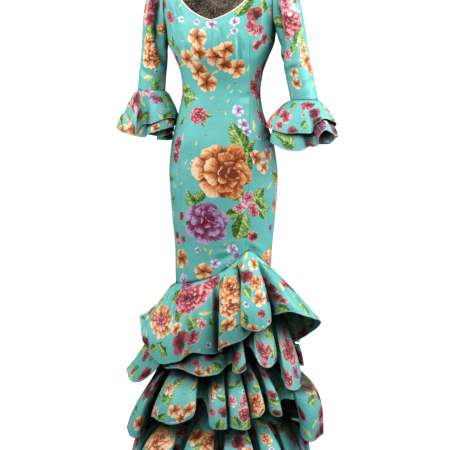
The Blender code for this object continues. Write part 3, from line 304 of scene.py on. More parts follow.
def body_point(theta, z):
    """Outside of the body cloth; angle from the front centre and section height."""
    half = along(BODY, z, 1)
    front = along(BODY, z, 2)
    back = along(BODY, z, 3)
    c = np.cos(theta)
    depth = mix(back, front, ease(0.5 + 2.0 * c))
    x = half * np.sin(theta) + along(BODY, z, 4)
    y = -depth * c
    fall = SHOULDER_SLOPE * np.maximum(0.0, np.abs(x) - SHOULDER_IN) * ease((z + 0.20) / 0.17)
    return np.stack([x, y, z - fall], axis=-1)


def unit(v):
    return v / np.maximum(np.linalg.norm(v, axis=-1, keepdims=True), 1e-12)


def body_normal(theta, z):
    """Normal to the outside of the body cloth."""
    e = 0.004
    h = 0.0008
    z1 = np.minimum(z + h, -0.0001)
    z0 = z1 - 2.0 * h
    across = body_point(theta + e, z) - body_point(theta - e, z)
    upward = body_point(theta, z1) - body_point(theta, z0)
    n = unit(np.cross(across, upward))
    out = np.stack([np.sin(theta), -np.cos(theta), 0.5 * np.ones_like(theta)], axis=-1)
    flip = np.sum(n * out, axis=-1) < 0.0
    n[flip] *= -1.0
    return n


def body_angle(x, z):
    """Angle of the place on the front that is x metres to the right."""
    half = along(BODY, z, 1)
    return np.arcsin(np.clip((x - along(BODY, z, 4)) / half, -1.0, 1.0))


def press(points, normals, lines):
    """Sinks soft creases into the cloth: (points of the crease, half width, depth)."""
    flat = points.reshape(-1, 3)
    sink = np.zeros(len(flat))
    for line, half, depth in lines:
        gap = np.linalg.norm(flat[:, None] - line[None], axis=2)
        near = gap.argmin(axis=1)
        away = gap[np.arange(len(flat)), near] / (half * CREASE_WIDTH)
        fade = np.sin(math.pi * (near + 0.5) / len(line)) ** 0.7
        bank = 0.4 * np.exp(-((away - 2.0) / 0.9) ** 2)
        sink += depth * CREASE_DEPTH * fade * (np.exp(-away ** 2) - bank)
    return points - normals * sink.reshape(points.shape[:2])[..., None]


# ------------------------------------------------------------------ cloth shells
HEM_ROWS = 2            # rows at the edge of a frill that swell into its rolled hem
HEM_SWELL = 0.0006
PIECES = {}             # name: what the shades and the print need to know of a cloth


def grid_normals(points, ring):
    """Normals of a grid of points, rows from one edge of the cloth to the other."""
    down = np.gradient(points, axis=0)
    if ring:
        across = np.roll(points, -1, axis=1) - np.roll(points, 1, axis=1)
    else:
        across = np.gradient(points, axis=1)
    return unit(np.cross(across, down))


def facing(normals, out):
    """The normals, turned over if they point away from out."""
    return -normals if np.sum(normals * out) < 0.0 else normals


def shell(name, outer, normals, thick, cloth, ring, girth=None):
    """Closed cloth shell of a grid of points and of its normals to the outside.

    cloth: angle and height of each point, or angle and distance on a flat fan.
    girth: metres for one radian of the angle, or none for a fan.
    """
    rows, cols = outer.shape[:2]
    edge = np.zeros((rows, cols), dtype=np.float32)
    if girth is None:
        edge[-HEM_ROWS:] = 1.0
    lift = np.where(edge[:, :1, None] > 0.5, HEM_SWELL, 0.0)
    front = outer + normals * lift
    back = outer - normals * (thick + lift)
    verts = np.concatenate([front.reshape(-1, 3), back.reshape(-1, 3)])
    half = rows * cols
    last = cols if ring else cols - 1
    r, c = np.meshgrid(np.arange(rows - 1), np.arange(last), indexing="ij")
    r = r.ravel() * cols
    c = c.ravel()
    a, b = r + c, r + (c + 1) % cols
    quads = [np.stack([a, a + cols, b + cols, b], 1),
             half + np.stack([a, b, b + cols, a + cols], 1)]
    c = np.arange(last)
    c1 = (c + 1) % cols
    quads.append(np.stack([c, c1, half + c1, half + c], 1))
    low = half - cols
    quads.append(np.stack([low + c, half + low + c, half + low + c1, low + c1], 1))
    if not ring:
        r = np.arange(rows - 1) * cols
        quads.append(np.stack([r, half + r, half + r + cols, r + cols], 1))
        r = r + cols - 1
        quads.append(np.stack([r, r + cols, half + r + cols, half + r], 1))
    faces = np.concatenate(quads)
    f = faces[: (rows - 1) * last]
    p = verts[f]
    n = np.cross(p[:, 2] - p[:, 0], p[:, 3] - p[:, 1])
    if np.sum(n * normals.reshape(-1, 3)[f[:, 0]]) < 0.0:
        faces = faces[:, ::-1]
    mesh = bpy.data.meshes.new(name)
    mesh.vertices.add(len(verts))
    mesh.vertices.foreach_set("co", verts.ravel())
    mesh.loops.add(faces.size)
    mesh.loops.foreach_set("vertex_index", faces.ravel().astype(np.int32))
    mesh.polygons.add(len(faces))
    mesh.polygons.foreach_set("loop_start", (np.arange(len(faces)) * 4).astype(np.int32))
    mesh.polygons.foreach_set("use_smooth", np.ones(len(faces), dtype=bool))
    mesh.update(calc_edges=True)
    obj = add_object(name, mesh)
    # the rolled hem is marked for the painted highlight that the shader puts on it
    layer = mesh.attributes.new("hem", "FLOAT", "POINT")
    layer.data.foreach_set("value", np.tile(edge.ravel(), 2))
    PIECES[name] = {"object": obj, "faces": faces, "flat": np.tile(cloth.reshape(-1, 2), (2, 1)),
                    "outer_faces": (rows - 1) * last, "verts": verts, "outer": outer,
                    "inner": outer - normals * thick, "normals": normals, "ring": ring,
                    "fan": girth is None, "period": 2.0 * math.pi}
    if girth is not None:
        PIECES[name]["girth"] = np.tile(np.broadcast_to(girth, (rows, cols)).ravel(), 2)
        PIECES[name]["mean_girth"] = float(np.mean(girth))
    return obj


def keep_side(p, side):
    """Keeps a front (-1) or back (1) panel on its own side of the side seams."""
    limit = np.minimum if side < 0 else np.maximum
    p[..., 1] = limit(p[..., 1], side * SEAM_GAP)
    return p


def body_shell(name, theta, z, side, thick=CLOTH, lift=0.0):
    """theta, z: grids, rows from the foot of the panel to its top."""
    n = body_normal(theta, z)
    outer = keep_side(press(body_point(theta, z) + n * lift, n, BODY_CREASES), side)
    girth = 0.5 * (along(BODY, z, 1) + along(BODY, z, 2))
    return shell(name, outer, n, thick, np.stack([theta, z], axis=-1), False, girth)


def body_line(row):
    """Points of one crease of the body, its half width and its depth."""
    angle, z, to_angle, to_z = row[:4]
    t = np.linspace(0.0, 1.0, 24)
    return body_point(np.radians(mix(angle, to_angle, t)), mix(z, to_z, t)), row[4], row[5]


BODY_CREASES = [body_line(row) for row in CREASES]


# ------------------------------------------------------------------ body panels
def edge_x(z):
    """Distance of the front centre panel's edge from the centre line."""
    return np.where(z < PRINCESS_TOP, along(PRINCESS, z, 1), along(ARMHOLE, z, 1))


def back_edge(z):
    """Distance of a back panel's edge from the centre line."""
    return np.where(z < UNDERARM, along(BODY, z, 1), along(ARMHOLE, z, 1))


def neck_height(x):
    """Height of the front neck edge, x metres from the centre line."""
    return along(NECK, np.abs(x), 1)


def back_neck(x):
    """Height of the back neck edge, x metres from the centre line."""
    t = np.minimum(1.0, np.abs(x) / SHOULDER_IN)
    return BACK_NECK * (1.0 - t ** 3.0)


def top_of_column(share, side_x, neck_z):
    """Height at which each column of a panel meets the neck, found by halving."""
    low = np.full_like(share, -0.35)
    high = np.zeros_like(share)
    for _ in range(40):
        mid = 0.5 * (low + high)
        under = mid < neck_z(share * side_x(mid))
        low = np.where(under, mid, low)
        high = np.where(under, high, mid)
    return np.where(share * side_x(np.zeros_like(share)) >= SHOULDER_IN, -0.0001, low)


def open_seams(theta, z, gap):
    """Moves the first and last column of a panel in from its seams, by metres of cloth."""
    e = 0.002
    for column, way in ((0, gap), (-1, -gap)):
        a, h = theta[:, column], z[:, column]
        step = np.linalg.norm(body_point(a + e, h) - body_point(a - e, h), axis=-1) / (2 * e)
        theta[:, column] = a + way / np.maximum(step, 0.02)


def spread(count, power=1.0):
    return np.linspace(0.0, 1.0, count) ** power


LOWER = spread(180)
UPPER = 1.0 - (1.0 - spread(44)[1:]) ** 1.7
HALF = np.concatenate([np.linspace(0.0, SHOULDER_SHARE, 34),
                       np.linspace(SHOULDER_SHARE, 1.0, 12)[1:]])


def panel_rows(feet, mids, tops):
    """Heights of a panel's grid: even rows up to its middle line, closer to its top."""
    return np.concatenate([mix(feet[None], mids[None], LOWER[:, None]),
                           mix(mids[None], tops[None], UPPER[:, None])])


def front_centre():
    shares = np.concatenate([-HALF[::-1], HALF[1:]])
    tops = top_of_column(np.abs(shares), edge_x, neck_height)
    mids = mix(CHEST_MID, PRINCESS_TOP, np.abs(shares) ** 2.2)
    foot = body_angle(shares * along(PRINCESS, PANEL_FOOT, 1), PANEL_FOOT)
    z = panel_rows(hip_seam(foot) + SEAM_GAP, mids, tops)
    theta = body_angle(shares[None] * edge_x(z), z)
    open_seams(theta, z, SEAM_GAP)
    return body_shell("front_centre_cloth", theta, z, -1)


def front_side(name, sign):
    shares = np.linspace(0.0, 1.0, 32)
    near = body_angle(along(PRINCESS, PANEL_FOOT, 1), PANEL_FOOT)
    feet = hip_seam(sign * mix(near, 0.5 * math.pi, shares)) + SEAM_GAP
    tops = mix(PRINCESS_TOP, UNDERARM, shares ** 0.8)
    z = mix(feet[None], tops[None], LOWER[:, None])
    near = body_angle(sign * along(PRINCESS, z, 1), z)
    theta = mix(near, sign * 0.5 * math.pi, shares[None])
    open_seams(theta, z, sign * SEAM_GAP)
    return body_shell(name, theta, z, -1)


def back_reach(z):
    """Sine of the angle at the edge of a back panel."""
    return np.minimum(1.0, back_edge(z) / along(BODY, z, 1))


def back_panel(name, sign):
    tops = top_of_column(HALF, back_edge, back_neck)
    mids = mix(BACK_MID, UNDERARM, HALF ** 2.0)
    feet = hip_seam(sign * mix(math.pi, 0.5 * math.pi, HALF)) + SEAM_GAP
    z = panel_rows(feet, mids, tops)
    theta = math.pi - np.arcsin(np.minimum(1.0, HALF[None] * back_reach(z)))
    theta[:, -1] = np.where(z[:, -1] <= UNDERARM + 0.0005, 0.5 * math.pi, theta[:, -1])
    open_seams(theta, z, -SEAM_GAP)
    return body_shell(name, sign * theta, z, 1)


def back_lining():
    """Lining of the upper back, inside the back panels."""
    shares = np.linspace(-0.92, 0.92, 61)
    tops = np.minimum(top_of_column(np.abs(shares), back_edge, back_neck) - 0.004, -0.010)
    z = mix(-0.300, tops[None], spread(50)[:, None])
    theta = math.pi + np.arcsin(np.clip(shares[None] * back_reach(z) * 0.96, -1.0, 1.0))
    return body_shell("back_lining_cloth", theta, z, 1, 0.0010, -CLOTH - 0.0045)


def closed_run(line):
    """Direction of a closed line at each of its points."""
    return unit(np.roll(line, -1, axis=0) - np.roll(line, 1, axis=0))


def tube(name, line, ups, radius, sides=10):
    """Closed round cord along a closed line."""
    run = closed_run(line)
    side = unit(np.cross(run, ups))
    top = np.cross(side, run)
    a = np.arange(sides) * 2.0 * math.pi / sides
    ring = (line[:, None] + radius * (np.cos(a)[None, :, None] * side[:, None]
                                      + np.sin(a)[None, :, None] * top[:, None]))
    i, k = np.meshgrid(np.arange(len(line)), np.arange(sides), indexing="ij")
    i = i.ravel()
    k = k.ravel()
    j = (i + 1) % len(line)
    m = (k + 1) % sides
    faces = np.stack([i * sides + k, j * sides + k, j * sides + m, i * sides + m], 1)
    mesh = bpy.data.meshes.new(name)
    mesh.from_pydata(ring.reshape(-1, 3).tolist(), [], faces.tolist())
    bm = bmesh.new()
    bm.from_mesh(mesh)
    bmesh.ops.recalc_face_normals(bm, faces=bm.faces)
    bm.to_mesh(mesh)
    bm.free()
    mesh.polygons.foreach_set("use_smooth", np.ones(len(faces), dtype=bool))
    return add_object(name, mesh)


def neck_piping():
    """Rolled binding that rides on the neck edge."""
    share = np.linspace(-SHOULDER_SHARE, SHOULDER_SHARE, 121)
    z = top_of_column(np.abs(share), edge_x, neck_height)
    theta = body_angle(share * edge_x(z), z)
    share = np.linspace(SHOULDER_SHARE, -SHOULDER_SHARE, 101)[1:-1]
    zb = top_of_column(np.abs(share), back_edge, back_neck)
    tb = math.pi - np.arcsin(share * back_edge(zb) / along(BODY, zb, 1))
    theta = np.concatenate([theta, tb])
    z = np.concatenate([z, zb])
    n = body_normal(theta, z)
    line = body_point(theta, z) - n * (CLOTH * 0.5)
    run = closed_run(line)
    n = unit(n - run * np.sum(n * run, axis=1, keepdims=True))
    rise = np.cross(run, n)
    rise[rise[:, 2] < 0] *= -1.0
    return tube("neck_piping_cord", line + rise * 0.0024, n, 0.0022)


# ------------------------------------------------------------------ sleeves
def armhole_point(psi, sign):
    """Place on an armhole; psi turns from the shoulder over the front."""
    deg = psi % 360.0
    z = mix(-0.0001, UNDERARM, 0.5 - 0.5 * np.cos(np.radians(deg)))
    theta = np.arcsin(np.minimum(1.0, along(ARMHOLE, z, 1) / along(BODY, z, 1)))
    theta = np.where(deg <= 180.0, theta, math.pi - theta)
    p = body_point(theta, z)
    p[..., 0] *= sign
    return p


def sleeve_point(psi, t, table, sign):
    """Place on a sleeve: psi as on its armhole, t from there to its end."""
    start = armhole_point(psi, sign)
    start[..., 0] += sign * SLEEVE_GAP
    a = np.radians(psi)
    drop_in = 0.5 + 0.5 * np.cos(a)
    z = mix(start[..., 2], table[-1][0], t)
    ordered = ORDERED[table]
    cx = along(ordered, z, 1)
    cy = along(ordered, z, 2)
    hw = along(ordered, z, 3)
    hd = along(ordered, z, 4)
    tube_p = np.stack([cx + sign * hw * np.cos(a), cy - hd * np.sin(a), z], axis=-1)
    reach = mix(0.26, 0.42, drop_in)
    blend = ease(t / reach) ** mix(1.0, 0.62, drop_in)
    return mix(start, tube_p, blend[..., None])


ORDERED = {SLEEVE_LEFT: tuple(reversed(SLEEVE_LEFT)), SLEEVE_RIGHT: tuple(reversed(SLEEVE_RIGHT))}


def sleeve_line(row, table, sign):
    """Points of one crease of a sleeve, its half width and its depth."""
    t = np.linspace(0.0, 1.0, 24)
    turn = mix(row[0], row[2], t)
    return sleeve_point(turn, mix(row[1], row[3], t), table, sign), row[4], row[5]


def sleeve(name, table, sign, creases):
    psi, t = np.meshgrid(np.arange(80) * 4.5, spread(90), indexing="xy")
    p = sleeve_point(psi, t, table, sign)
    a = np.radians(psi)
    out = np.stack([sign * np.cos(a), -np.sin(a), 0.3 * np.cos(a)], axis=-1)
    n = facing(grid_normals(p, True), out)
    flat = np.stack([a, p[..., 2]], axis=-1)
    sunk = press(p, n, [sleeve_line(row, table, sign) for row in creases])
    p = mix(p, sunk, ease(t * 10.0)[..., None])
    n = facing(grid_normals(p, True), out)
    return shell(name, p, n, CLOTH, flat, True, np.full(psi.shape, 0.046))


# ------------------------------------------------------------------ flounces
# Hems, a row for each ridge, wall or trough on the way round: angle, reach, height,
# angle at the seam, fullness
HEM_1 = metres((
    (-122, 200, -1168, -122, 1.6), (-100, 240, -1122, -106, 0.9), (-77, 253, -1080, -92, 0.75),
    (-60, 257, -1098, -78, 0.9), (-52, 258, -1142, -66, 1.5), (-42, 252, -1180, -54, 1.6),
    (-30, 245, -1191, -42, 1.7), (-19, 244, -1180, -28, 1.8), (-10, 262, -1152, -15, 1.9),
    (-7, 248, -1147, -11, 1.7), (0, 230, -1155, -6, 1.5), (6, 208, -1158, -1, 1.5),
    (11.5, 166, -1156, 4, 0.9), (13, 204, -1148, 6.5, 1.3), (10.5, 242, -1138, 8, 1.9),
    (13.5, 258, -1124, 11, 2.2), (21, 265, -1111, 16, 2.2), (28.5, 256, -1100, 20, 2),
    (35, 220, -1088, 24, 1.5), (36, 172, -1074, 27, 0.9), (30, 214, -1060, 29, 1.4),
    (24.5, 268, -1062, 31, 2.1), (27.5, 287, -1073, 33, 2.2), (33.5, 292, -1076, 37, 2.2),
    (41, 280, -1063, 41, 2.1), (48.5, 240, -1053, 44, 1.8), (53.5, 204, -1047, 47, 1.4),
    (54, 238, -1041, 51, 1.6), (58, 270, -1035, 57, 1.7), (65, 290, -1042, 66, 1.4),
    (78, 308, -1061, 77, 1.15), (90, 300, -1086, 87, 1.15), (103, 270, -1122, 96, 1.3),
    (112, 232, -1152, 103, 1.5),
), (1, 2))
HEM_2 = metres((
    (-122, 176, -1215, -122, 1.4), (-104, 236, -1238, -106, 1.1), (-86, 284, -1236, -94, 1),
    (-73, 297, -1246, -84, 0.9), (-69, 286, -1272, -77, 1), (-61, 262, -1270, -71, 1.5),
    (-56, 230, -1240, -64, 1.4), (-48, 206, -1200, -54, 1.4), (-40, 222, -1194, -46, 1.5),
    (-32, 236, -1202, -36, 1.6), (-17.5, 242, -1202, -24, 1.6), (-7.5, 246, -1207, -14, 1.6),
    (1.5, 252, -1214, -4, 1.6), (10.5, 246, -1206, 5, 1.6), (17, 212, -1184, 12, 1.5),
    (23, 216, -1175, 17, 1.5), (28, 238, -1181, 21, 1.5), (28.5, 255, -1190, 24, 1.6),
    (24, 265, -1203, 27, 1.6), (20.5, 240, -1197, 30, 1.5), (23.5, 202, -1160, 33, 1.4),
    (28.5, 196, -1135, 35, 1.4), (31, 222, -1124, 38, 1.5), (33.5, 246, -1134, 42, 1.7),
    (35, 260, -1156, 46, 1.8), (38, 268, -1183, 50, 1.8), (43, 269, -1191, 54, 1.8),
    (49.5, 258, -1177, 58, 1.7), (56, 232, -1156, 62, 1.5), (62, 198, -1150, 66, 1.4),
    (61, 224, -1190, 70, 1.5), (58, 250, -1235, 74, 1.6), (58.5, 264, -1260, 77, 1.6),
    (64, 271, -1268, 81, 1.6), (72, 268, -1262, 86, 1.6), (86, 250, -1240, 92, 1.5),
    (98, 216, -1225, 98, 1.5),
), (1, 2))
HEM_3 = metres((
    (-100, 190, -1362, -100, 1.3), (-89, 240, -1390, -88, 1.4), (-74, 286, -1408, -70, 1.4),
    (-59.5, 300, -1410, -59, 1.4), (-53.5, 298, -1423, -55.5, 1.6), (-49, 288, -1426, -53, 1.7),
    (-52.5, 262, -1417, -51, 1.5), (-70, 226, -1400, -48, 1.2), (-64, 216, -1372, -44, 1.2),
    (-38.5, 262, -1352, -36, 1.5), (-29.5, 282, -1351, -28.5, 1.8), (-23, 286, -1352, -23.5, 1.9),
    (-15, 286, -1350, -17.5, 1.9), (-8.5, 282, -1341, -13, 1.9), (-4.5, 276, -1328, -10.5, 1.8),
    (-3.5, 262, -1312, -9, 1.6), (-6.5, 236, -1298, -8, 1.3), (-8, 206, -1291, -7, 1.1),
    (-5, 188, -1290, -6, 1), (-1, 202, -1298, -4, 1.1), (3, 232, -1320, 0, 1.4),
    (6, 268, -1354, 5, 1.8), (11, 279, -1361, 8, 1.9), (15, 278, -1362, 10.5, 1.9),
    (17, 252, -1356, 13, 1.3), (19, 272, -1357, 15.5, 1.7), (23.5, 278, -1360, 18, 1.9),
    (28, 274, -1359, 21, 1.8), (31.5, 258, -1353, 23.5, 1.6), (32.5, 228, -1340, 26, 1.2),
    (34, 254, -1334, 28.5, 1.6), (37, 270, -1330, 30.5, 1.8), (40.5, 264, -1314, 32.5, 1.7),
    (42.5, 242, -1299, 35, 1.5), (43, 214, -1285, 37.5, 1.2), (45.5, 188, -1273, 40, 1),
    (51, 184, -1269, 41.5, 1), (51.5, 206, -1275, 43, 1.1), (46.5, 240, -1298, 44, 1.4),
    (45.5, 262, -1320, 45, 1.7), (47.5, 273, -1329, 46, 1.8), (51, 276, -1331, 48, 1.8),
    (55.5, 258, -1327, 51, 1.5), (61, 226, -1311, 55, 1.2), (63.5, 234, -1296, 58, 1.3),
    (65, 256, -1295, 60, 1.7), (69, 264, -1294, 63, 1.7), (79, 244, -1315, 67, 1.4),
    (73, 266, -1354, 69.5, 1.6), (66, 288, -1392, 71, 2.4), (66.5, 304, -1414, 72.5, 2.8),
    (70.5, 315, -1419, 74.5, 3.1), (78, 318, -1411, 78, 3.3), (90, 313, -1407, 87, 3.2),
    (103, 288, -1400, 97, 2.4),
), (1, 2))
# hems of the cuff flounces, heights from the end of the sleeve
CUFF_UPPER_LEFT = metres((
    (-150, 78, -104, -142, 1.3), (-116, 66, -118, -116, 1.4), (-99, 74, -100, -100, 1.5),
    (-84, 75, -76, -86, 1.5), (-65, 73, -58, -70, 1.5), (-40, 73, -70, -56, 1.5),
    (-22, 79, -88, -43, 1.6), (-10, 85, -105, -32, 1.7), (-6, 89, -120, -24, 1.8),
    (-9, 84, -130, -18, 1.7), (-9, 64, -114, -11, 1.4), (-4, 47, -100, -3, 1.2),
    (10, 45, -98, 9, 1.1), (21, 64, -98, 21, 1.4), (38, 78, -89, 35, 1.7), (55, 77, -82, 52, 1.7),
    (78, 80, -80, 72, 1.6), (98, 91, -88, 93, 1.5), (124, 88, -102, 120, 1.5),
    (156, 72, -106, 152, 1.3), (186, 84, -108, 184, 1.4),
), (1, 2))
CUFF_LOWER_LEFT = metres((
    (-150, 74, -128, -146, 1.3), (-112, 84, -118, -116, 1.4), (-75, 97, -108, -88, 1.5),
    (-60, 91, -116, -70, 1.5), (-40, 83, -125, -54, 1.5), (-22, 72, -131, -38, 1.4),
    (-6, 55, -136, -22, 1.3), (8, 50, -137, -8, 1.2), (16, 66, -128, 6, 1.4),
    (32, 73, -122, 18, 1.6), (52, 75, -114, 32, 1.7), (74, 80, -108, 46, 1.7),
    (91, 83, -108, 58, 1.6), (101, 79, -116, 66, 1.6), (94, 68, -127, 74, 1.5),
    (68, 54, -136, 82, 1.4), (50, 50, -143, 90, 1.3), (74, 55, -146, 98, 1.3),
    (101, 65, -147, 108, 1.4), (124, 79, -143, 122, 1.5), (152, 72, -134, 148, 1.4),
    (180, 80, -136, 180, 1.4),
), (1, 2))
CUFF_UPPER_RIGHT = metres((
    (-106, 104, -88, -120, 1.4), (-89, 121, -78, -100, 1.5), (-76, 126, -76, -86, 1.6),
    (-62, 114, -82, -71, 1.6), (-46, 103, -90, -57, 1.6), (-30, 98, -93, -43, 1.6),
    (-14, 94, -92, -29, 1.6), (0, 90, -92, -15, 1.5), (10, 87, -92, -3, 1.5), (16, 78, -86, 6, 1.4),
    (20, 68, -77, 14, 1.3), (26, 70, -66, 23, 1.4), (34, 76, -60, 32, 1.5), (43, 75, -53, 42, 1.5),
    (51, 74, -51, 52, 1.5), (62, 75, -53, 62, 1.5), (75, 77, -58, 74, 1.5), (98, 80, -66, 94, 1.5),
    (122, 78, -76, 118, 1.4), (150, 86, -94, 146, 1.5), (180, 76, -98, 176, 1.4),
    (206, 88, -102, 204, 1.5), (232, 82, -96, 226, 1.4),
), (1, 2))
CUFF_LOWER_RIGHT = metres((
    (-112, 96, -118, -122, 1.4), (-92, 117, -116, -103, 1.4), (-76, 123, -118, -88, 1.5),
    (-57, 116, -128, -72, 1.5), (-44, 107, -138, -58, 1.5), (-31, 98, -143, -44, 1.5),
    (-17, 91, -142, -30, 1.5), (-8, 83, -138, -19, 1.4), (-4, 69, -133, -10, 1.3),
    (0, 61, -130, -2, 1.3), (12, 71, -131, 8, 1.4), (20, 84, -124, 17, 1.4),
    (22, 93, -106, 25, 1.3), (30, 97, -90, 32, 1.2), (38, 97, -83, 39, 1.2), (48, 96, -89, 46, 1.2),
    (57, 92, -100, 52, 1.3), (61, 83, -112, 58, 1.4), (55, 72, -119, 64, 1.4),
    (43, 63, -121, 70, 1.3), (36, 56, -119, 76, 1.2), (52, 52, -114, 84, 1.2),
    (74, 62, -106, 92, 1.3), (92, 75, -101, 100, 1.4), (110, 80, -102, 112, 1.4),
    (132, 74, -112, 132, 1.4), (156, 83, -126, 154, 1.4), (184, 71, -128, 182, 1.3),
    (210, 85, -130, 208, 1.4), (234, 78, -124, 228, 1.4),
), (1, 2))
# folds on the sides that the photo doesn't show, and all folds of the lowest flounce:
# trough, seam, low reach, low height, ridge, top reach, top height, lap
FOLDS_1 = metres((
    (118, 108, 186, -1168, 137, 262, -1172, 0.5), (156, 150, 188, -1180, 172, 272, -1190, 0.7),
    (188, 184, 190, -1182, 205, 264, -1184, 0.6), (222, 218, 188, -1176, 229, 232, -1178, 0.3),
), (2, 3, 5, 6))
FOLDS_2 = metres((
    (108, 103, 174, -1212, 126, 264, -1236, 0.6), (144, 138, 172, -1218, 159, 272, -1244, 0.7),
    (174, 170, 174, -1222, 190, 264, -1240, 0.6), (206, 204, 174, -1222, 221, 268, -1242, 0.5),
), (2, 3, 5, 6))
FOLDS_3 = metres((
    (117, 111, 200, -1396, 131, 298, -1446, 0.6), (144, 141, 182, -1392, 157, 304, -1450, 0.8),
    (174, 173, 180, -1372, 189, 294, -1416, 0.7), (205, 205, 182, -1370, 222, 302, -1420, 0.8),
    (240, 240, 190, -1368, 250, 256, -1404, 0.4),
), (2, 3, 5, 6))
FOLDS_4 = metres((
    (-88, -88, 204, -1500, -71, 282, -1520, 0.6), (-54, -54, 198, -1496, -34, 298, -1520, 0.8),
    (-16, -16, 194, -1496, -3, 304, -1522, 0.9), (11, 11, 196, -1500, 24, 312, -1524, 0.8),
    (37, 37, 190, -1498, 47, 294, -1520, 0.9), (58, 58, 206, -1494, 70, 268, -1514, 0.6),
    (84, 84, 212, -1494, 101, 254, -1516, 0.5), (120, 120, 200, -1498, 138, 302, -1522, 0.8),
    (156, 156, 202, -1500, 174, 314, -1526, 0.7), (192, 192, 202, -1500, 208, 306, -1524, 0.8),
    (224, 224, 204, -1500, 247, 302, -1522, 0.5),
), (2, 3, 5, 6))


def fold_rows(folds, first):
    """Hem rows from fold rows, up to the first row of the hem, which closes the ring."""
    rows = []
    ends = [fold[:4] for fold in folds[1:]]
    ends.append((first[0] + 360.0, first[1] + 360.0, first[2], first[3]))
    for fold, stop in zip(folds, ends):
        trough, seam, low_r, low_z, ridge, top_r, top_z, lap = fold
        middle = 0.5 * (seam + stop[1])
        steps = ((0.26 + 0.10 * lap, 0.50, 0.34), (0.40 - 0.22 * lap, 0.88, 0.60))
        rows.append((trough, low_r, low_z, seam, 1.3))
        for side, order in ((fold[:4], steps), (stop, steps[::-1])):
            if side is stop:
                rows.append((ridge, top_r, top_z, middle, 1.8))
            for out, rise, way in order:
                rows.append((mix(side[0], ridge, out), mix(side[2], top_r, rise),
                             mix(side[3], top_z, rise), mix(side[1], middle, way), 1.6))
    return tuple(rows)


def closed_hem(rows, folds):
    """Rows of a hem and after them its folds, back to the first row."""
    angle, reach, height, seam, _ = rows[0]
    return rows + fold_rows(folds, (angle, seam, reach, height))


HEM_1 = closed_hem(HEM_1, FOLDS_1)
HEM_2 = closed_hem(HEM_2, FOLDS_2)
HEM_3 = closed_hem(HEM_3, FOLDS_3)
HEM_4 = fold_rows(FOLDS_4, FOLDS_4[0])


def ring_curve(rows, turning):
    """Smooth closed curve through rows of numbers, as a function of the row number.

    turning: the columns that grow by 360 in one round.
    """
    data = np.array(rows, dtype=float)
    count = len(data)
    once = np.zeros(data.shape[1])
    once[list(turning)] = 360.0
    ext = np.concatenate([data[-2:] - once, data, data[:3] + once])
    a = np.radians(ext[:, 0])
    spot = np.stack([ext[:, 1] * np.sin(a), ext[:, 1] * np.cos(a), ext[:, 2]], axis=1)
    gap = np.sqrt(np.linalg.norm(np.diff(spot, axis=0), axis=1)) + 1e-6
    slope = np.diff(ext, axis=0) / gap[:, None]
    tangent = ((slope[:-1] * gap[1:, None] + slope[1:] * gap[:-1, None])
               / (gap[:-1] + gap[1:])[:, None])

    def at(s):
        i = np.clip(np.floor(s).astype(int), 0, count - 1)
        t = (s - i)[..., None]
        h = gap[i + 2][..., None]
        p0 = ext[i + 2]
        p1 = ext[i + 3]
        m0 = tangent[i + 1] * h
        m1 = tangent[i + 2] * h
        return ((1 + 2 * t) * (1 - t) ** 2 * p0 + t * (1 - t) ** 2 * m0
                + t * t * (3 - 2 * t) * p1 + t * t * (t - 1) * m1)

    return at


def skirt_frill_point(curve, s, t, seam_z, clear, start, fall, ripple):
    """A place of a skirt flounce: s in rows of its hem table, t from the seam to the hem."""
    row = curve(s)
    angle, reach, hem_z, seam, full = [row[..., k] for k in range(5)]
    top_angle = np.radians(seam)
    if seam_z is None:
        top_z = hip_seam(top_angle) + 0.0014
    else:
        top_z = np.full_like(s, seam_z)
    part = np.maximum(0.0, (t - start) / (1.0 - start))
    swell = 1.0 - (1.0 - part) ** (full * fall)
    z = mix(top_z, hem_z, t)
    clear = mix(0.0018, clear, ease(t * 12.0))
    half = along(BODY, top_z, 1) + clear
    front = along(BODY, top_z, 2) + clear
    aside = along(BODY, np.maximum(z, -1.2), 4)
    # a few soft waves make the hem uneven, and small puckers fade below the seam
    a, b, c = ripple
    wave = np.sin(top_angle * a + b) * 0.6 + np.sin(top_angle * (a * 1.7) + c) * 0.4
    reach = reach + 0.0035 * wave
    pucker = (np.sin(top_angle * (a * 4.1) + b) * 0.5
              + np.sin(top_angle * (a * 6.7) + c + 2.0 * wave) * 0.5)
    pucker = pucker * (0.0024 * ease(t * 9.0) * (1.0 - ease((t - 0.12) / 0.5)) + 0.0008 * t)
    z = z + 0.0030 * t * t * np.sin(top_angle * (a * 1.3) + c + 1.0)
    hem_angle = np.radians(angle)
    x = mix(half * np.sin(top_angle), reach * np.sin(hem_angle), swell)
    y = mix(-front * np.cos(top_angle), -reach * 0.90 * np.cos(hem_angle), swell)
    return np.stack([aside + (x + pucker * np.sin(top_angle)),
                     y - pucker * np.cos(top_angle), z], axis=-1)


def even_columns(hem_line, s, step):
    """Fold coordinates that are about evenly spaced along the hem."""
    gap = np.linalg.norm(np.diff(hem_line, axis=0), axis=1)
    run = np.concatenate([[0.0], np.cumsum(gap)])
    count = int(run[-1] / step)
    return np.interp(np.arange(count) * run[-1] / count, run, s)


def fan_flat(points):
    """Flat fan position of each point: angle of the fan and distance from its centre."""
    around = np.linalg.norm(np.roll(points, -1, axis=1) - points, axis=2)
    run = np.concatenate([np.zeros((len(points), 1)), np.cumsum(around, axis=1)[:, :-1]], axis=1)
    total = around.sum(axis=1)
    fall = np.linalg.norm(np.diff(points, axis=0), axis=2).mean(axis=1)
    v = np.concatenate([[0.0], np.cumsum(fall)])
    height = v[-1]
    rho0 = total[0] * height / max(total[-1] - total[0], 0.05)
    turn = total[-1] / (rho0 + height)
    mid = int(len(points) * 0.7)
    alpha = run[mid] / total[mid] * turn
    flat = np.stack(np.broadcast_arrays(alpha[None], rho0 + v[:, None]), axis=-1)
    return flat, height, total, turn


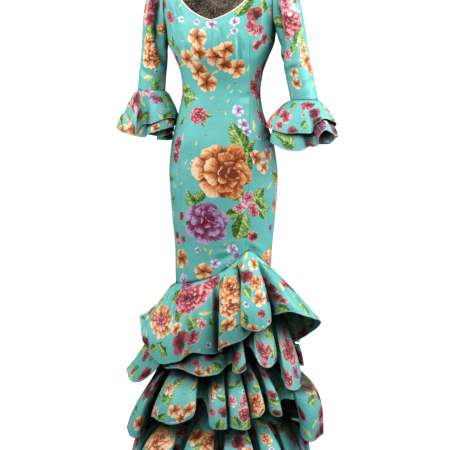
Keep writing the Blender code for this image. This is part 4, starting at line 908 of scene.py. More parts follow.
class Nest:
    """Room inside a frill: its smallest reach from an upright axis, by angle and height."""

    turn_step = 2.0
    rise = 0.006
    levels = 160

    def __init__(self, points, axis, foot):
        self.axis = axis
        self.foot = foot
        turn, level, reach = self.place(points)
        cells = np.full((int(360 / self.turn_step), self.levels), 9.0)
        np.minimum.at(cells, (turn.astype(int) % len(cells),
                              np.clip(level.astype(int), 0, self.levels - 1)), reach)
        self.cells = cells
        for a in (-1, 0, 1):
            for b in (-1, 0, 1):
                near = np.roll(np.roll(cells, a, axis=0), b, axis=1)
                self.cells = np.minimum(self.cells, near)

    def place(self, p):
        """Turn and level in cells, and reach from the axis."""
        x = p[..., 0] - self.axis[0]
        y = p[..., 1] - self.axis[1]
        turn = (np.degrees(np.arctan2(x, -y)) % 360.0) / self.turn_step
        return turn, (p[..., 2] - self.foot) / self.rise, np.hypot(x, y)

    def keep_inside(self, p, clear):
        """Draws points in until they are clear of the frill."""
        turn, level, reach = self.place(p)
        cells = self.cells
        n = len(cells)
        i0 = np.floor(turn - 0.5).astype(int)
        j0 = np.clip(np.floor(level - 0.5).astype(int), 0, self.levels - 2)
        fi = turn - 0.5 - i0
        fj = np.clip(level - 0.5 - j0, 0.0, 1.0)
        low = mix(cells[i0 % n, j0], cells[(i0 + 1) % n, j0], fi)
        high = mix(cells[i0 % n, j0 + 1], cells[(i0 + 1) % n, j0 + 1], fi)
        limit = mix(low, high, fj) - clear
        # soft minimum, so the cloth bends into the limit instead of breaking at it
        k = 0.006
        d = np.clip(0.5 + 0.5 * (reach - limit) / k, 0.0, 1.0)
        soft = mix(reach, limit, d) - k * d * (1.0 - d)
        soft = np.where(limit > 1.0, reach, soft)
        scale = np.minimum(soft / reach, 1.0)
        p = p.copy()
        for axis in (0, 1):
            p[..., axis] = self.axis[axis] + (p[..., axis] - self.axis[axis]) * scale
        return p


def frill_creases(turn, t, length, depth, wide):
    """Soft uneven creases that run down a frill: how far out each place is moved."""
    main = round(length / wide)
    fine = round(length / (wide * 0.62))
    low = np.sin(main * turn + 2.5 * np.sin(5.0 * turn + 1.0) + 4.0 * t)
    high = np.sin(fine * turn + 2.0 * np.sin(9.0 * turn) - 5.0 * t)
    wave = (low * (0.55 + 0.45 * np.sin(7.0 * turn))
            + 0.6 * high * (0.5 + 0.5 * np.sin(11.0 * turn + 2.0)))
    return depth * (wave - 0.35) * ease((t - 0.12) * 3.0) * (1.0 - 0.35 * t)


def frill_shell(name, point, count, rows, step, crease):
    """Cloth ring of a frill; point gives a place by row of the hem table and share of the fall."""
    s = np.linspace(0.0, count, count * 120 + 1)
    cols = even_columns(point(s, np.ones_like(s)), s, step)
    t = np.linspace(0.0, 1.0, rows)
    t = np.concatenate([t[:-1], [1.0 - 0.012, 1.0]])
    ss, tt = np.meshgrid(cols, t, indexing="xy")
    p = point(ss, tt)
    out = p - p.reshape(-1, 3).mean(axis=0)
    out[..., 2] = 0.0
    n = facing(grid_normals(p, True), out)
    flat, height, total, turn = fan_flat(p)
    around = flat[..., 0] / turn * 2.0 * math.pi
    p = p + n * frill_creases(around, tt, total[len(total) // 2], *crease)[..., None]
    n = facing(grid_normals(p, True), n)
    obj = shell(name, p, n, FRILL, flat, True)
    PIECES[name].update(period=turn, height=height, hem=total[-1])
    return obj, p


def keep_off_body(p, clear):
    """Pushes points out until they are clear of the body panels."""
    half = along(BODY, p[..., 2], 1) + clear
    front = np.where(p[..., 1] < 0.0, along(BODY, p[..., 2], 2), along(BODY, p[..., 2], 3)) + clear
    aside = along(BODY, p[..., 2], 4)
    near = np.hypot((p[..., 0] - aside) / half, p[..., 1] / front)
    push = np.maximum(1.0 / np.maximum(near, 0.2), 1.0)
    p = p.copy()
    p[..., 0] = aside + (p[..., 0] - aside) * push
    p[..., 1] = p[..., 1] * push
    return p


# rows, metres between columns, depth and width of the soft creases
SKIRT_GRID = (36, 0.0050, (0.0027, 0.052))
CUFF_GRID = (28, 0.0036, (0.0010, 0.030))
# how far a cuff flounce stays inside the one above, and off the body
CUFF_ROOM = 0.0030
BODY_ROOM = 0.0034


def skirt_frill(name, hem, seam_z, clear, start, fall, ripple, above):
    """A skirt flounce, kept inside the one above; gives the room inside this one too."""
    curve = ring_curve(hem, (0, 3))

    def point(s, t):
        p = skirt_frill_point(curve, s, t, seam_z, clear, start, fall, ripple)
        if above is not None:
            # closer below the hip seam, where the flounces are still narrow
            p = above.keep_inside(p, mix(0.0034, 0.0060, ease((-0.99 - p[..., 2]) / 0.12)))
        return p

    obj, p = frill_shell(name, point, len(hem), *SKIRT_GRID)
    return obj, Nest(p, (0.0, 0.0), -1.70)


def cuff_frill(name, hem, sleeve_table, clear, start, above):
    """A cuff flounce, kept inside the one above; gives the room inside this one too."""
    before, last = sleeve_table[-2:]
    lean_x = (last[1] - before[1]) / (last[0] - before[0])
    lean_y = (last[2] - before[2]) / (last[0] - before[0])
    curve = ring_curve(hem, (0, 3))

    def point(s, t):
        row = curve(s)
        angle, reach, drop, seam, full = [row[..., k] for k in range(5)]
        swell = 1.0 - (1.0 - t) ** full
        fall = mix(-start, drop, t)
        top = np.radians(seam)
        low = np.radians(angle)
        proud = mix(0.0022, clear, ease(t * 9.0))
        x = mix((last[3] + proud) * np.sin(top), reach * np.sin(low), swell)
        y = mix(-(last[4] + proud) * np.cos(top), -reach * np.cos(low), swell)
        p = np.stack([last[1] + lean_x * fall + x, last[2] + lean_y * fall + y,
                      last[0] + fall], axis=-1)
        if above is not None:
            p = above.keep_inside(p, CUFF_ROOM)
        return keep_off_body(p, BODY_ROOM)

    obj, p = frill_shell(name, point, len(hem), *CUFF_GRID)
    return obj, Nest(p, (last[1] - 0.05 * lean_x, last[2] - 0.05 * lean_y), last[0] - 0.30)


def skirt_base():
    """The skirt under the flounces, which carries them."""
    theta, f = np.meshgrid(np.arange(160) * 2.0 * math.pi / 160, spread(60), indexing="xy")
    z = mix(hip_seam(theta) - 0.0012, BASE_HEM, f)
    flat = np.stack([theta, z], axis=-1)
    return shell("skirt_base_cloth", body_point(theta, z), body_normal(theta, z), CLOTH, flat,
                 True, np.full(z.shape, 0.14))


# side, sign, sections, creases and hems of the two cuff flounces
SLEEVES = (
    ("left", -1.0, SLEEVE_LEFT, CREASES_LEFT, CUFF_UPPER_LEFT, CUFF_LOWER_LEFT),
    ("right", 1.0, SLEEVE_RIGHT, CREASES_RIGHT, CUFF_UPPER_RIGHT, CUFF_LOWER_RIGHT),
)
# layer, clearance from the sleeve, how far below the sleeve's end it starts
CUFFS = (("upper", 0.0062, -0.0014), ("lower", 0.0030, 0.0022))
# hem, height of the seam (none: the hip seam), clearance, share of the fall before it
# swells, strength of the swell, ripple
FLOUNCES = (
    (HEM_1, None, 0.0085, 0.0, 1.0, (9.0, 0.3, 1.1)),
    (HEM_2, -1.000, 0.0060, 0.0, 0.9, (11.0, 1.3, 0.4)),
    (HEM_3, -1.150, 0.0048, 0.10, 1.0, (13.0, 2.3, 3.4)),
    (HEM_4, -1.300, 0.0036, 0.20, 1.3, (12.0, 0.9, 2.2)),
)
BUILT = {
    "front_centre": front_centre(),
    "front_side_left": front_side("front_side_left_cloth", -1.0),
    "front_side_right": front_side("front_side_right_cloth", 1.0),
    "back_left": back_panel("back_left_cloth", -1.0),
    "back_right": back_panel("back_right_cloth", 1.0),
    "back_lining": back_lining(),
    "neck_piping": neck_piping(),
}
for side, sign, sections, creases, _, _ in SLEEVES:
    BUILT["sleeve_" + side] = sleeve("sleeve_%s_cloth" % side, sections, sign, creases)
for side, _, sections, _, *hems in SLEEVES:
    room = None
    for hem, (layer, clear, start) in zip(hems, CUFFS):
        made, room = cuff_frill("cuff_%s_%s_frill" % (layer, side), hem, sections,
                                clear, start, room)
        BUILT["cuff_flounce_%s_%s" % (layer, side)] = made
BUILT["skirt_base"] = skirt_base()
room = None
for number, row in enumerate(FLOUNCES, 1):
    made, room = skirt_frill("flounce_%d_frill" % number, *row, room)
    BUILT["flounce_%d" % number] = made

# ------------------------------------------------------------------ deep folds and cloth under the flounces: painted shade
SHADE_STEP = 3          # every third row and column of a cloth is tested
SHADE_REACH = 0.170
SHADE_KEY = (-0.05, -0.66, 0.75)    # where most of the room's light comes from
SHADE_WAYS = 40
# painted shadow under each flounce: darkest just under the hem above, fading out lower down
UNDER_FLOUNCE_SHADOW_FADE = 0.100      # height over which the painted shadow under a flounce fades out
UNDER_FLOUNCE_SHADOW_FLOOR = 0.38
# the flounce that hangs over each of the others
COVERS = {"flounce_%d_frill" % n: "flounce_%d_frill" % (n - 1) for n in (2, 3, 4)}


def ball(count):
    """Directions spread evenly over a ball."""
    k = np.arange(count) + 0.5
    z = 1.0 - 2.0 * k / count
    a = k * math.pi * (3.0 - math.sqrt(5.0))
    r = np.sqrt(1.0 - z * z)
    return np.stack([r * np.cos(a), r * np.sin(a), z], axis=1)


def thin_out(count):
    """Every third number and the last one."""
    picked = list(range(0, count, SHADE_STEP))
    if picked[-1] != count - 1:
        picked.append(count - 1)
    return np.array(picked)


def covered(name, grid):
    """How far each place lies under the hem of the flounce above, for the painted shadow there: 1
    well below it, 0 behind.
    """
    if name not in COVERS:
        return np.ones(grid.shape[:2])
    hem = PIECES[COVERS[name]]["outer"][-1]
    hem_turn = np.arctan2(hem[:, 0], -hem[:, 1])
    turns = np.linspace(-math.pi, math.pi, 121)
    apart = np.abs(wrap(hem_turn[None] - turns[:, None], 2.0 * math.pi))
    share = np.exp(-(apart / 0.14) ** 2)
    height = (share * hem[None, :, 2]).sum(axis=1) / share.sum(axis=1)
    turn = np.arctan2(grid[..., 0], -grid[..., 1])
    return ease((np.interp(turn, turns, height) + 0.012 - grid[..., 2]) / UNDER_FLOUNCE_SHADOW_FADE)


def cloth_tree():
    """All cloths as one tree of faces that rays can be cast at."""
    points = []
    faces = []
    start = 0
    for info in PIECES.values():
        rows, cols = [thin_out(count) for count in info["outer"].shape[:2]]
        info["pick"] = (rows, cols)
        points.append(info["outer"][np.ix_(rows, cols)].reshape(-1, 3))
        wide = len(cols)
        last = wide if info["ring"] else wide - 1
        r, c = np.meshgrid(np.arange(len(rows) - 1), np.arange(last), indexing="ij")
        r = r.ravel() * wide
        c = c.ravel()
        d = (c + 1) % wide
        faces.append(start + np.stack([r + c, r + d, r + wide + d, r + wide + c], 1))
        start += len(rows) * wide
    return BVHTree.FromPolygons(np.concatenate(points).tolist(), np.concatenate(faces).tolist())


def hollow_shade():
    """Attribute open: how much of the room each place of the cloth sees, 1 for all, less just under
    a flounce; the shader paints shade into the colour from it.
    """
    tree = cloth_tree()
    ways = ball(SHADE_WAYS)
    lit = 0.22 + np.maximum(ways @ np.array(SHADE_KEY), 0.0)
    vectors = [Vector(way) for way in ways]
    for name, info in PIECES.items():
        rows, cols = info["pick"]
        pick = np.ix_(rows, cols)
        size = info["outer"].shape[:2]
        both = []
        for grid, sign in ((info["outer"], 1.0), (info["inner"], -1.0)):
            n = sign * info["normals"][pick].reshape(-1, 3)
            p = grid[pick].reshape(-1, 3) + n * 0.003
            weight = n @ ways.T
            seen = np.ones(len(p))
            for i in range(len(p)):
                spot = Vector(p[i])
                total = 0.0
                clear = 0.0
                for k in np.nonzero(weight[i] > 0.15)[0]:
                    w = weight[i, k] * lit[k]
                    total += w
                    away = tree.ray_cast(spot, vectors[k], SHADE_REACH)[3]
                    clear += w if away is None else w * (away / SHADE_REACH) ** 1.2
                seen[i] = clear / max(total, 1e-6)
            full = seen.reshape(len(rows), len(cols))
            full = np.stack([np.interp(np.arange(size[1]), cols, line) for line in full])
            full = np.stack([np.interp(np.arange(size[0]), rows, line) for line in full.T]).T
            if sign > 0.0:
                # painted shadow: the cloth close under the hem of the flounce above is darkened
                full = full * mix(UNDER_FLOUNCE_SHADOW_FLOOR, 1.0, covered(name, grid))
            both.append(full.ravel())
        layer = info["object"].data.attributes.new("open", "FLOAT", "POINT")
        layer.data.foreach_set("value", np.concatenate(both).astype(np.float32))


hollow_shade()

# ------------------------------------------------------------------ the flower print
LAYERS = 5
ORANGE, CRIMSON, PINK, PURPLE, MAROON, GREEN, PALE, LILAC = range(1, 9)

# kind: petals (none on a leaf), depth of the notches or width of the leaf
KINDS = {
    "peony": (6.0, 0.20),
    "rose": (7.0, 0.14),
    "mum": (13.0, 0.20),
    "blossom": (5.0, 0.24),
    "cross": (4.0, 0.34),
    "leaf": (0.0, 0.56),
    "blade": (0.0, 0.34),
    "petal": (6.2, 0.36),
}

# Flowers that show in the photo: pixel, kind, reach in mm, turn, palette
CHART = (
    # middle of the body
    (222, 172, "peony", 80, 20, ORANGE), (204, 223, "peony", 64, 75, PURPLE),
    (247, 199, "petal", 24, 70, PINK), (253, 210, "petal", 24, -60, PINK),
    (240, 208, "petal", 19, 190, PINK),
    (233, 193, "leaf", 36, 160, GREEN), (260, 193, "leaf", 30, 60, GREEN),
    (241, 228, "leaf", 44, 250, GREEN), (190, 200, "leaf", 32, 110, GREEN),
    (233, 214, "leaf", 32, 190, GREEN), (262, 204, "leaf", 28, -50, GREEN),
    (200, 196, "leaf", 26, 50, GREEN), (246, 162, "leaf", 38, 80, GREEN),
    (237, 135, "leaf", 46, 115, GREEN), (248, 146, "leaf", 32, 40, GREEN),
    (256, 157, "blossom", 22, 10, ORANGE), (267, 155, "cross", 20, 40, ORANGE),
    (263, 167, "cross", 20, 75, ORANGE),
    (263, 215, "leaf", 22, -60, GREEN), (268, 209, "blade", 18, 60, GREEN),
    (253, 237, "cross", 16, 0, CRIMSON), (247, 234, "leaf", 18, 30, GREEN),
    # chest
    (197, 37, "blossom", 28, 90, ORANGE), (198, 52, "blossom", 23, 20, ORANGE),
    (187, 58, "blossom", 27, 150, ORANGE), (217, 57, "blossom", 31, 60, ORANGE),
    (226, 50, "blossom", 23, 10, ORANGE), (225, 65, "blossom", 20, 100, ORANGE),
    (237, 68, "blossom", 27, 40, ORANGE), (198, 71, "blossom", 28, 110, ORANGE),
    (207, 83, "blossom", 28, 70, ORANGE),
    (220, 88, "leaf", 15, -60, GREEN), (216, 72, "blade", 14, 30, PALE),
    (229, 87, "blade", 10, 50, PALE), (248, 68, "blade", 12, 80, PALE),
    (205, 28, "blade", 9, 20, PALE), (215, 28, "blade", 9, 150, PALE),
    (211, 24, "blossom", 13, 30, LILAC), (235, 21, "blossom", 13, 80, LILAC),
    (234, 31, "blossom", 10, 10, LILAC), (229, 36, "blade", 9, 60, PALE),
    (255, 14, "blossom", 22, 40, MAROON), (253, 28, "petal", 26, 120, CRIMSON),
    (258, 30, "petal", 20, 40, CRIMSON), (258, 45, "cross", 18, 40, CRIMSON),
    (264, 38, "petal", 20, 80, CRIMSON), (244, 6, "leaf", 38, 45, GREEN),
    (263, 6, "leaf", 26, 90, GREEN), (270, 10, "blade", 14, 100, ORANGE),
    (271, 40, "leaf", 22, 115, GREEN), (276, 33, "blade", 14, 60, PALE),
    (172, 42, "leaf", 24, 100, GREEN), (177, 49, "blade", 22, 120, GREEN),
    (177, 60, "petal", 22, 110, CRIMSON), (165, 28, "petal", 22, 80, ORANGE),
    (164, 5, "petal", 22, 100, CRIMSON), (170, 17, "petal", 20, 110, CRIMSON),
    (180, 6, "blade", 12, 60, PALE), (183, 66, "blade", 16, 50, PALE),
    # waist
    (186, 88, "leaf", 26, 20, GREEN), (190, 98, "leaf", 34, -15, GREEN),
    (187, 102, "leaf", 24, -80, GREEN), (198, 115, "rose", 26, 0, CRIMSON),
    (208, 115, "leaf", 17, -10, GREEN), (203, 122, "leaf", 15, -70, GREEN),
    (238, 111, "blossom", 17, 20, LILAC), (243, 125, "blossom", 16, 60, LILAC),
    (247, 131, "blossom", 13, 10, LILAC), (228, 101, "blade", 8, 60, PALE),
    (232, 92, "blade", 8, 40, PALE), (226, 113, "blade", 8, 100, PALE),
    (263, 67, "petal", 24, 60, CRIMSON), (258, 76, "petal", 26, 80, CRIMSON),
    (254, 88, "petal", 26, 100, CRIMSON), (258, 94, "petal", 22, 60, CRIMSON),
    (261, 117, "petal", 26, 110, CRIMSON), (254, 126, "blade", 20, 100, PALE),
    (258, 100, "blade", 12, 100, PALE), (268, 138, "cross", 14, 20, ORANGE),
    (182, 120, "leaf", 20, 60, GREEN), (177, 145, "petal", 26, 80, CRIMSON),
    (176, 156, "petal", 24, 260, CRIMSON), (183, 137, "blade", 14, 90, LILAC),
    (186, 163, "blade", 9, 60, PALE), (193, 163, "cross", 9, 60, LILAC),
    (189, 168, "blade", 8, 20, PALE), (173, 197, "leaf", 17, 60, GREEN),
    (175, 204, "blade", 14, -60, GREEN),
    # hip
    (177, 235, "petal", 17, 0, CRIMSON), (178, 242, "petal", 15, 0, PINK),
    (183, 240, "petal", 14, 90, CRIMSON), (181, 217, "petal", 15, 80, CRIMSON),
    (232, 249, "blossom", 15, 30, LILAC), (215, 263, "blossom", 13, 60, LILAC),
    (211, 252, "blade", 12, 60, PALE), (226, 244, "blade", 10, 30, PALE),
    (236, 257, "petal", 11, 50, PURPLE), (205, 249, "blade", 9, 120, PALE),
    (181, 258, "blossom", 30, 100, ORANGE), (203, 272, "blossom", 26, 30, ORANGE),
    (183, 281, "petal", 24, 80, LILAC), (188, 285, "petal", 20, 40, PURPLE),
    (178, 264, "blade", 18, 80, PALE), (270, 185, "blade", 16, 60, PALE),
    (276, 190, "cross", 12, 10, LILAC), (274, 210, "petal", 12, 80, ORANGE),
    (270, 228, "petal", 14, 80, PURPLE), (272, 250, "blade", 18, 80, PALE),
    # top flounce
    (161, 320, "mum", 46, 60, ORANGE), (192, 298, "rose", 46, 100, CRIMSON),
    (181, 343, "blossom", 36, 20, MAROON), (192, 338, "petal", 24, 60, CRIMSON),
    (178, 295, "leaf", 26, 60, GREEN), (181, 313, "leaf", 30, 80, GREEN),
    (192, 322, "leaf", 28, 110, GREEN), (176, 302, "blade", 20, 10, GREEN),
    (154, 350, "leaf", 20, 40, GREEN), (163, 353, "leaf", 24, -60, GREEN),
    (160, 344, "blade", 18, 20, GREEN), (202, 324, "petal", 18, -60, PINK),
    (213, 283, "petal", 34, 40, CRIMSON), (206, 272, "petal", 20, 30, CRIMSON),
    (222, 285, "leaf", 30, 70, GREEN), (233, 290, "rose", 40, 80, ORANGE),
    (231, 306, "rose", 32, 20, ORANGE), (217, 306, "cross", 26, 30, CRIMSON),
    (211, 322, "leaf", 16, 110, GREEN), (239, 327, "leaf", 13, 30, GREEN),
    (219, 348, "blossom", 19, 20, ORANGE), (226, 345, "petal", 15, 60, ORANGE),
    (247, 293, "leaf", 22, -60, GREEN), (256, 283, "petal", 24, 110, ORANGE),
    (246, 254, "blade", 22, 80, PALE), (254, 264, "blossom", 18, 50, ORANGE),
    (262, 262, "blade", 18, -40, PALE), (268, 268, "leaf", 14, -30, GREEN),
    (276, 297, "cross", 17, 10, MAROON), (284, 301, "cross", 14, 60, CRIMSON),
    (284, 308, "leaf", 26, -20, GREEN), (304, 308, "leaf", 26, -60, GREEN),
    (312, 321, "leaf", 32, 70, GREEN), (298, 300, "blade", 20, -50, GREEN),
    (262, 314, "petal", 16, -10, CRIMSON), (270, 322, "cross", 14, 40, PINK),
    (303, 333, "petal", 24, 60, CRIMSON), (305, 340, "petal", 20, 100, PINK),
    # second and third flounces
    (135, 372, "leaf", 24, 40, GREEN), (128, 376, "petal", 18, 60, PINK),
    (145, 375, "cross", 22, 20, MAROON), (264, 352, "petal", 38, 115, CRIMSON),
    (272, 350, "leaf", 32, 110, GREEN), (290, 353, "petal", 40, 120, CRIMSON),
    (298, 358, "petal", 30, 60, MAROON), (228, 362, "leaf", 16, 80, GREEN),
    (240, 382, "leaf", 20, 60, GREEN), (208, 372, "blossom", 16, 20, ORANGE),
    (165, 377, "blossom", 26, 30, ORANGE), (169, 388, "petal", 20, 80, ORANGE),
    (169, 398, "leaf", 32, 60, GREEN), (160, 394, "blade", 24, 100, GREEN),
    (173, 412, "blossom", 22, 10, ORANGE), (188, 409, "blossom", 24, 50, ORANGE),
    (181, 419, "blossom", 18, 50, ORANGE), (163, 418, "leaf", 22, 40, GREEN),
    (216, 387, "blossom", 17, 20, ORANGE), (208, 398, "petal", 18, 100, CRIMSON),
    (211, 412, "petal", 22, 120, CRIMSON), (258, 379, "rose", 26, 20, ORANGE),
    (253, 403, "rose", 40, 20, ORANGE), (261, 410, "blossom", 24, 50, ORANGE),
    (245, 400, "petal", 22, 80, CRIMSON), (278, 391, "leaf", 28, 60, GREEN),
    (288, 378, "petal", 26, 110, CRIMSON), (296, 372, "petal", 24, 130, PURPLE),
    (287, 419, "peony", 34, 20, CRIMSON), (296, 405, "blossom", 20, 30, MAROON),
    (301, 414, "blossom", 18, 60, MAROON), (309, 388, "blossom", 24, 20, ORANGE),
    (314, 400, "leaf", 24, 60, GREEN), (322, 414, "petal", 26, 80, CRIMSON),
    (150, 404, "petal", 20, 10, CRIMSON), (139, 424, "blossom", 20, 30, ORANGE),
    (130, 424, "petal", 14, 60, LILAC), (279, 438, "leaf", 24, 60, GREEN),
    # lowest flounce
    (156, 442, "peony", 50, 20, ORANGE), (211, 441, "peony", 34, 50, ORANGE),
    (180, 432, "petal", 30, 90, CRIMSON), (186, 424, "cross", 18, 20, MAROON),
    (164, 428, "leaf", 34, 30, GREEN), (224, 440, "leaf", 24, 80, GREEN),
    (200, 447, "leaf", 22, 10, GREEN), (267, 440, "petal", 22, 110, ORANGE),
    (293, 438, "rose", 26, 20, CRIMSON),
    # left sleeve and cuff
    (152, 6, "petal", 24, 90, CRIMSON), (149, 18, "blossom", 22, 20, CRIMSON),
    (150, 26, "leaf", 28, 100, GREEN), (154, 32, "leaf", 24, 120, GREEN),
    (150, 43, "rose", 28, 20, ORANGE), (152, 56, "rose", 38, 60, ORANGE),
    (147, 49, "petal", 22, 100, ORANGE), (148, 77, "leaf", 18, 10, PALE),
    (155, 86, "leaf", 26, 100, GREEN), (159, 80, "blade", 22, 60, GREEN),
    (136, 100, "blossom", 30, 20, CRIMSON), (134, 106, "petal", 24, 120, CRIMSON),
    (154, 98, "petal", 22, -40, PURPLE), (160, 100, "leaf", 18, -40, MAROON),
    (168, 99, "leaf", 24, -50, GREEN), (155, 129, "blossom", 17, 20, ORANGE),
    (170, 122, "cross", 16, 20, ORANGE), (167, 104, "blade", 20, 100, GREEN),
    # right sleeve and cuff
    (287, 6, "petal", 34, 80, PINK), (291, 20, "peony", 38, 20, CRIMSON),
    (283, 12, "petal", 22, 70, PINK), (288, 33, "petal", 24, 90, CRIMSON),
    (299, 37, "leaf", 34, 70, GREEN), (293, 47, "blade", 24, 100, GREEN),
    (288, 55, "petal", 20, 80, PINK), (304, 50, "petal", 22, 90, ORANGE),
    (306, 60, "blossom", 24, 20, ORANGE), (310, 68, "petal", 20, 110, ORANGE),
    (294, 73, "cross", 15, 20, ORANGE), (296, 84, "cross", 17, 50, ORANGE),
    (292, 93, "blade", 14, 80, ORANGE), (313, 84, "blade", 16, 60, PALE),
    (294, 106, "leaf", 16, 40, GREEN), (307, 106, "petal", 22, 20, CRIMSON),
    (285, 117, "blossom", 22, 40, CRIMSON), (279, 126, "cross", 14, 40, CRIMSON),
    (305, 124, "leaf", 16, 60, GREEN), (285, 140, "leaf", 34, 150, GREEN),
    (279, 134, "leaf", 26, 170, GREEN), (328, 110, "petal", 22, 120, ORANGE),
    (322, 104, "blade", 16, 110, GREEN), (333, 121, "petal", 14, 60, CRIMSON),
)

# Sprays for the sides, the back and the folds: kind, reach, turn, palette and the
# place in the spray, right and up, in mm
SPRAYS = (
    (("peony", 62, 20, ORANGE, 0, 0), ("leaf", 38, 150, GREEN, -60, 34),
     ("leaf", 36, 30, GREEN, 62, 28), ("leaf", 34, 250, GREEN, -22, -68),
     ("petal", 24, 310, PINK, 50, -50)),
    (("peony", 54, 70, PURPLE, 0, 0), ("leaf", 32, 110, GREEN, -20, 60),
     ("leaf", 30, 330, GREEN, 58, -28), ("blade", 22, 40, GREEN, 52, 34)),
    (("rose", 34, 0, CRIMSON, 0, 0), ("leaf", 26, 340, GREEN, 44, -12),
     ("leaf", 24, 260, GREEN, -6, -44)),
    (("blossom", 27, 0, ORANGE, 0, 0), ("blossom", 25, 40, ORANGE, 44, 14),
     ("blossom", 24, 80, ORANGE, 18, -42), ("blade", 14, 60, PALE, 62, -22)),
    (("mum", 44, 0, ORANGE, 0, 0), ("leaf", 30, 60, GREEN, 34, 46),
     ("leaf", 28, 230, GREEN, -40, -40)),
    (("petal", 30, 70, CRIMSON, 0, 0), ("petal", 26, 110, CRIMSON, -22, 6),
     ("leaf", 24, 280, GREEN, 6, -42)),
    (("blossom", 14, 0, LILAC, 0, 0), ("blossom", 13, 40, LILAC, 26, 22),
     ("blade", 9, 40, PALE, -20, 14), ("blade", 8, 100, PALE, 10, -22)),
    (("blossom", 32, 20, MAROON, 0, 0), ("leaf", 24, 200, GREEN, -38, -14),
     ("petal", 20, 50, CRIMSON, 30, 26)),
    (("cross", 18, 10, ORANGE, 0, 0), ("cross", 17, 50, CRIMSON, 26, 10),
     ("leaf", 20, 200, GREEN, -26, -6)),
    (("leaf", 36, 80, GREEN, 0, 0), ("leaf", 28, 20, GREEN, 28, -24),
     ("blossom", 22, 0, ORANGE, -18, -36)),
)
SPRAY_DENSITY = 900     # tries for one square metre
SPRAY_SEED = 41
FILL_SEED = 17
# steps of a flower's own number, which sets its wobble and tone, from one to the next
CHART_STEP, SPRAY_STEP, FILL_STEP = 0.37, 0.53, 0.71
PETAL_NARROW = 1.35
FLAT_GIRTH = 0.13       # girth taken for the gaps between flowers on the flat pieces
GRAZING = 0.35          # least cosine for a flower drawn on a slanting cloth

# Small flowers between the charted ones: kind, reach in mm, palette
FILL_FRILL = (("petal", 25, CRIMSON), ("leaf", 27, GREEN), ("blossom", 22, ORANGE),
              ("leaf", 30, GREEN), ("cross", 20, MAROON), ("leaf", 24, GREEN),
              ("petal", 23, CRIMSON), ("petal", 22, ORANGE), ("blade", 20, PALE),
              ("leaf", 26, GREEN), ("petal", 22, PINK), ("blossom", 20, MAROON))
FILL_SPRIG = (("blade", 8, PALE), ("blossom", 9, LILAC), ("blade", 9, PALE),
              ("petal", 7, PINK), ("blade", 7, GREEN), ("cross", 8, LILAC))
# flowers, tries for one square metre, room around one in reaches
FLAT_PASSES = ((FILL_SPRIG, 500, 1.5),)
FRILL_PASSES = ((FILL_FRILL, 2600, 0.64), (FILL_SPRIG, 900, 1.0))


def camera_ray(px, py):
    """Start and direction of the line of sight through a pixel of the photo."""
    turn = CAMERA.rotation_euler.to_matrix()
    focal = CAMERA.data.lens / CAMERA.data.sensor_width * PICTURE
    middle = PICTURE / 2.0
    way = turn @ Vector(((px - middle) / focal, (middle - py) / focal, -1.0))
    return CAMERA.location.copy(), way.normalized()


class Print:
    """Flower places on one piece: two vectors a layer for each corner of each face."""

    def __init__(self, info):
        self.info = info
        self.faces = info["faces"]
        corners = self.faces.size
        self.place = np.zeros((LAYERS, corners, 3), dtype=np.float32)
        self.form = np.zeros((LAYERS, corners, 3), dtype=np.float32)
        self.used = np.zeros((LAYERS, len(self.faces)), dtype=bool)
        self.spots = []
        self.partners = []

    def local(self, a0, b0):
        """Flat distances from one place of the cloth, for every vertex."""
        a, b = self.info["flat"].T
        da = wrap(a - a0, self.info["period"])
        if self.info["fan"]:
            da = np.clip(da, -1.2, 1.2)
            return b * np.sin(da), b * np.cos(da) - b0
        return da * self.info["girth"], b - b0

    def stamp(self, a0, b0, kind, reach, turn, palette, seed):
        """Prints one flower, across the seams of the body too."""
        for sheet in [self] + self.partners:
            sheet.stamp_here(a0, b0, kind, reach, turn, palette, seed)

    def stamp_here(self, a0, b0, kind, reach, turn, palette, seed):
        """Prints one flower in the first layer that is free on all the faces it touches."""
        x, y = self.local(a0, b0)
        radius = reach * 0.001
        c = math.cos(turn) / radius
        s = math.sin(turn) / radius
        u = x * c + y * s
        v = (y * c - x * s) * (PETAL_NARROW if kind == "petal" else 1.0)
        limit = 1.12 + 0.004 / radius
        near = u * u + v * v < limit * limit
        touched = np.nonzero(near[self.faces].any(axis=1))[0]
        if len(touched) == 0:
            return
        for layer in range(LAYERS):
            if self.used[layer, touched].any():
                continue
            self.used[layer, touched] = True
            corner = (touched[:, None] * 4 + np.arange(4)).ravel()
            verts = self.faces[touched].ravel()
            self.place[layer, corner] = np.stack([u[verts], v[verts],
                                                  np.full(len(verts), seed)], axis=1)
            self.form[layer, corner] = (*KINDS[kind], palette)
            return

    def crowded(self, a0, b0, reach):
        """Whether a flower of this reach would touch one that is there."""
        for a, b, other in self.spots:
            girth = b if self.info["fan"] else FLAT_GIRTH
            gap = math.hypot(wrap(a - a0, self.info["period"]) * girth, b - b0)
            if gap < (reach + other) * 0.001:
                return True
        return False

    def store(self):
        """Writes the flower places into the mesh, for the shader."""
        mesh = self.info["object"].data
        for layer in range(LAYERS):
            for word, data in (("place", self.place), ("form", self.form)):
                spot = mesh.attributes.new("%s%d" % (word, layer), "FLOAT_VECTOR", "CORNER")
                spot.data.foreach_set("vector", data[layer].ravel())


def face_map(info, face):
    """Centre, normal, the map from space to the flat cloth and the flat place of one face."""
    verts = info["faces"][face]
    p = info["verts"][verts]
    a, b = info["flat"][verts].T
    a = a[0] + wrap(a - a[0], info["period"])
    girth = b.mean() if info["fan"] else info["girth"][verts].mean()
    flat = np.stack([(a - a[0]) * girth, b - b[0]], axis=1)
    e1 = p[2] - p[0]
    e2 = p[3] - p[1]
    n = np.cross(e1, e2)
    n /= max(np.linalg.norm(n), 1e-12)
    goal = np.stack([flat[2] - flat[0], flat[3] - flat[1], np.zeros(2)])
    return p.mean(axis=0), n, np.linalg.solve(np.stack([e1, e2, n]), goal).T, a.mean(), b.mean()


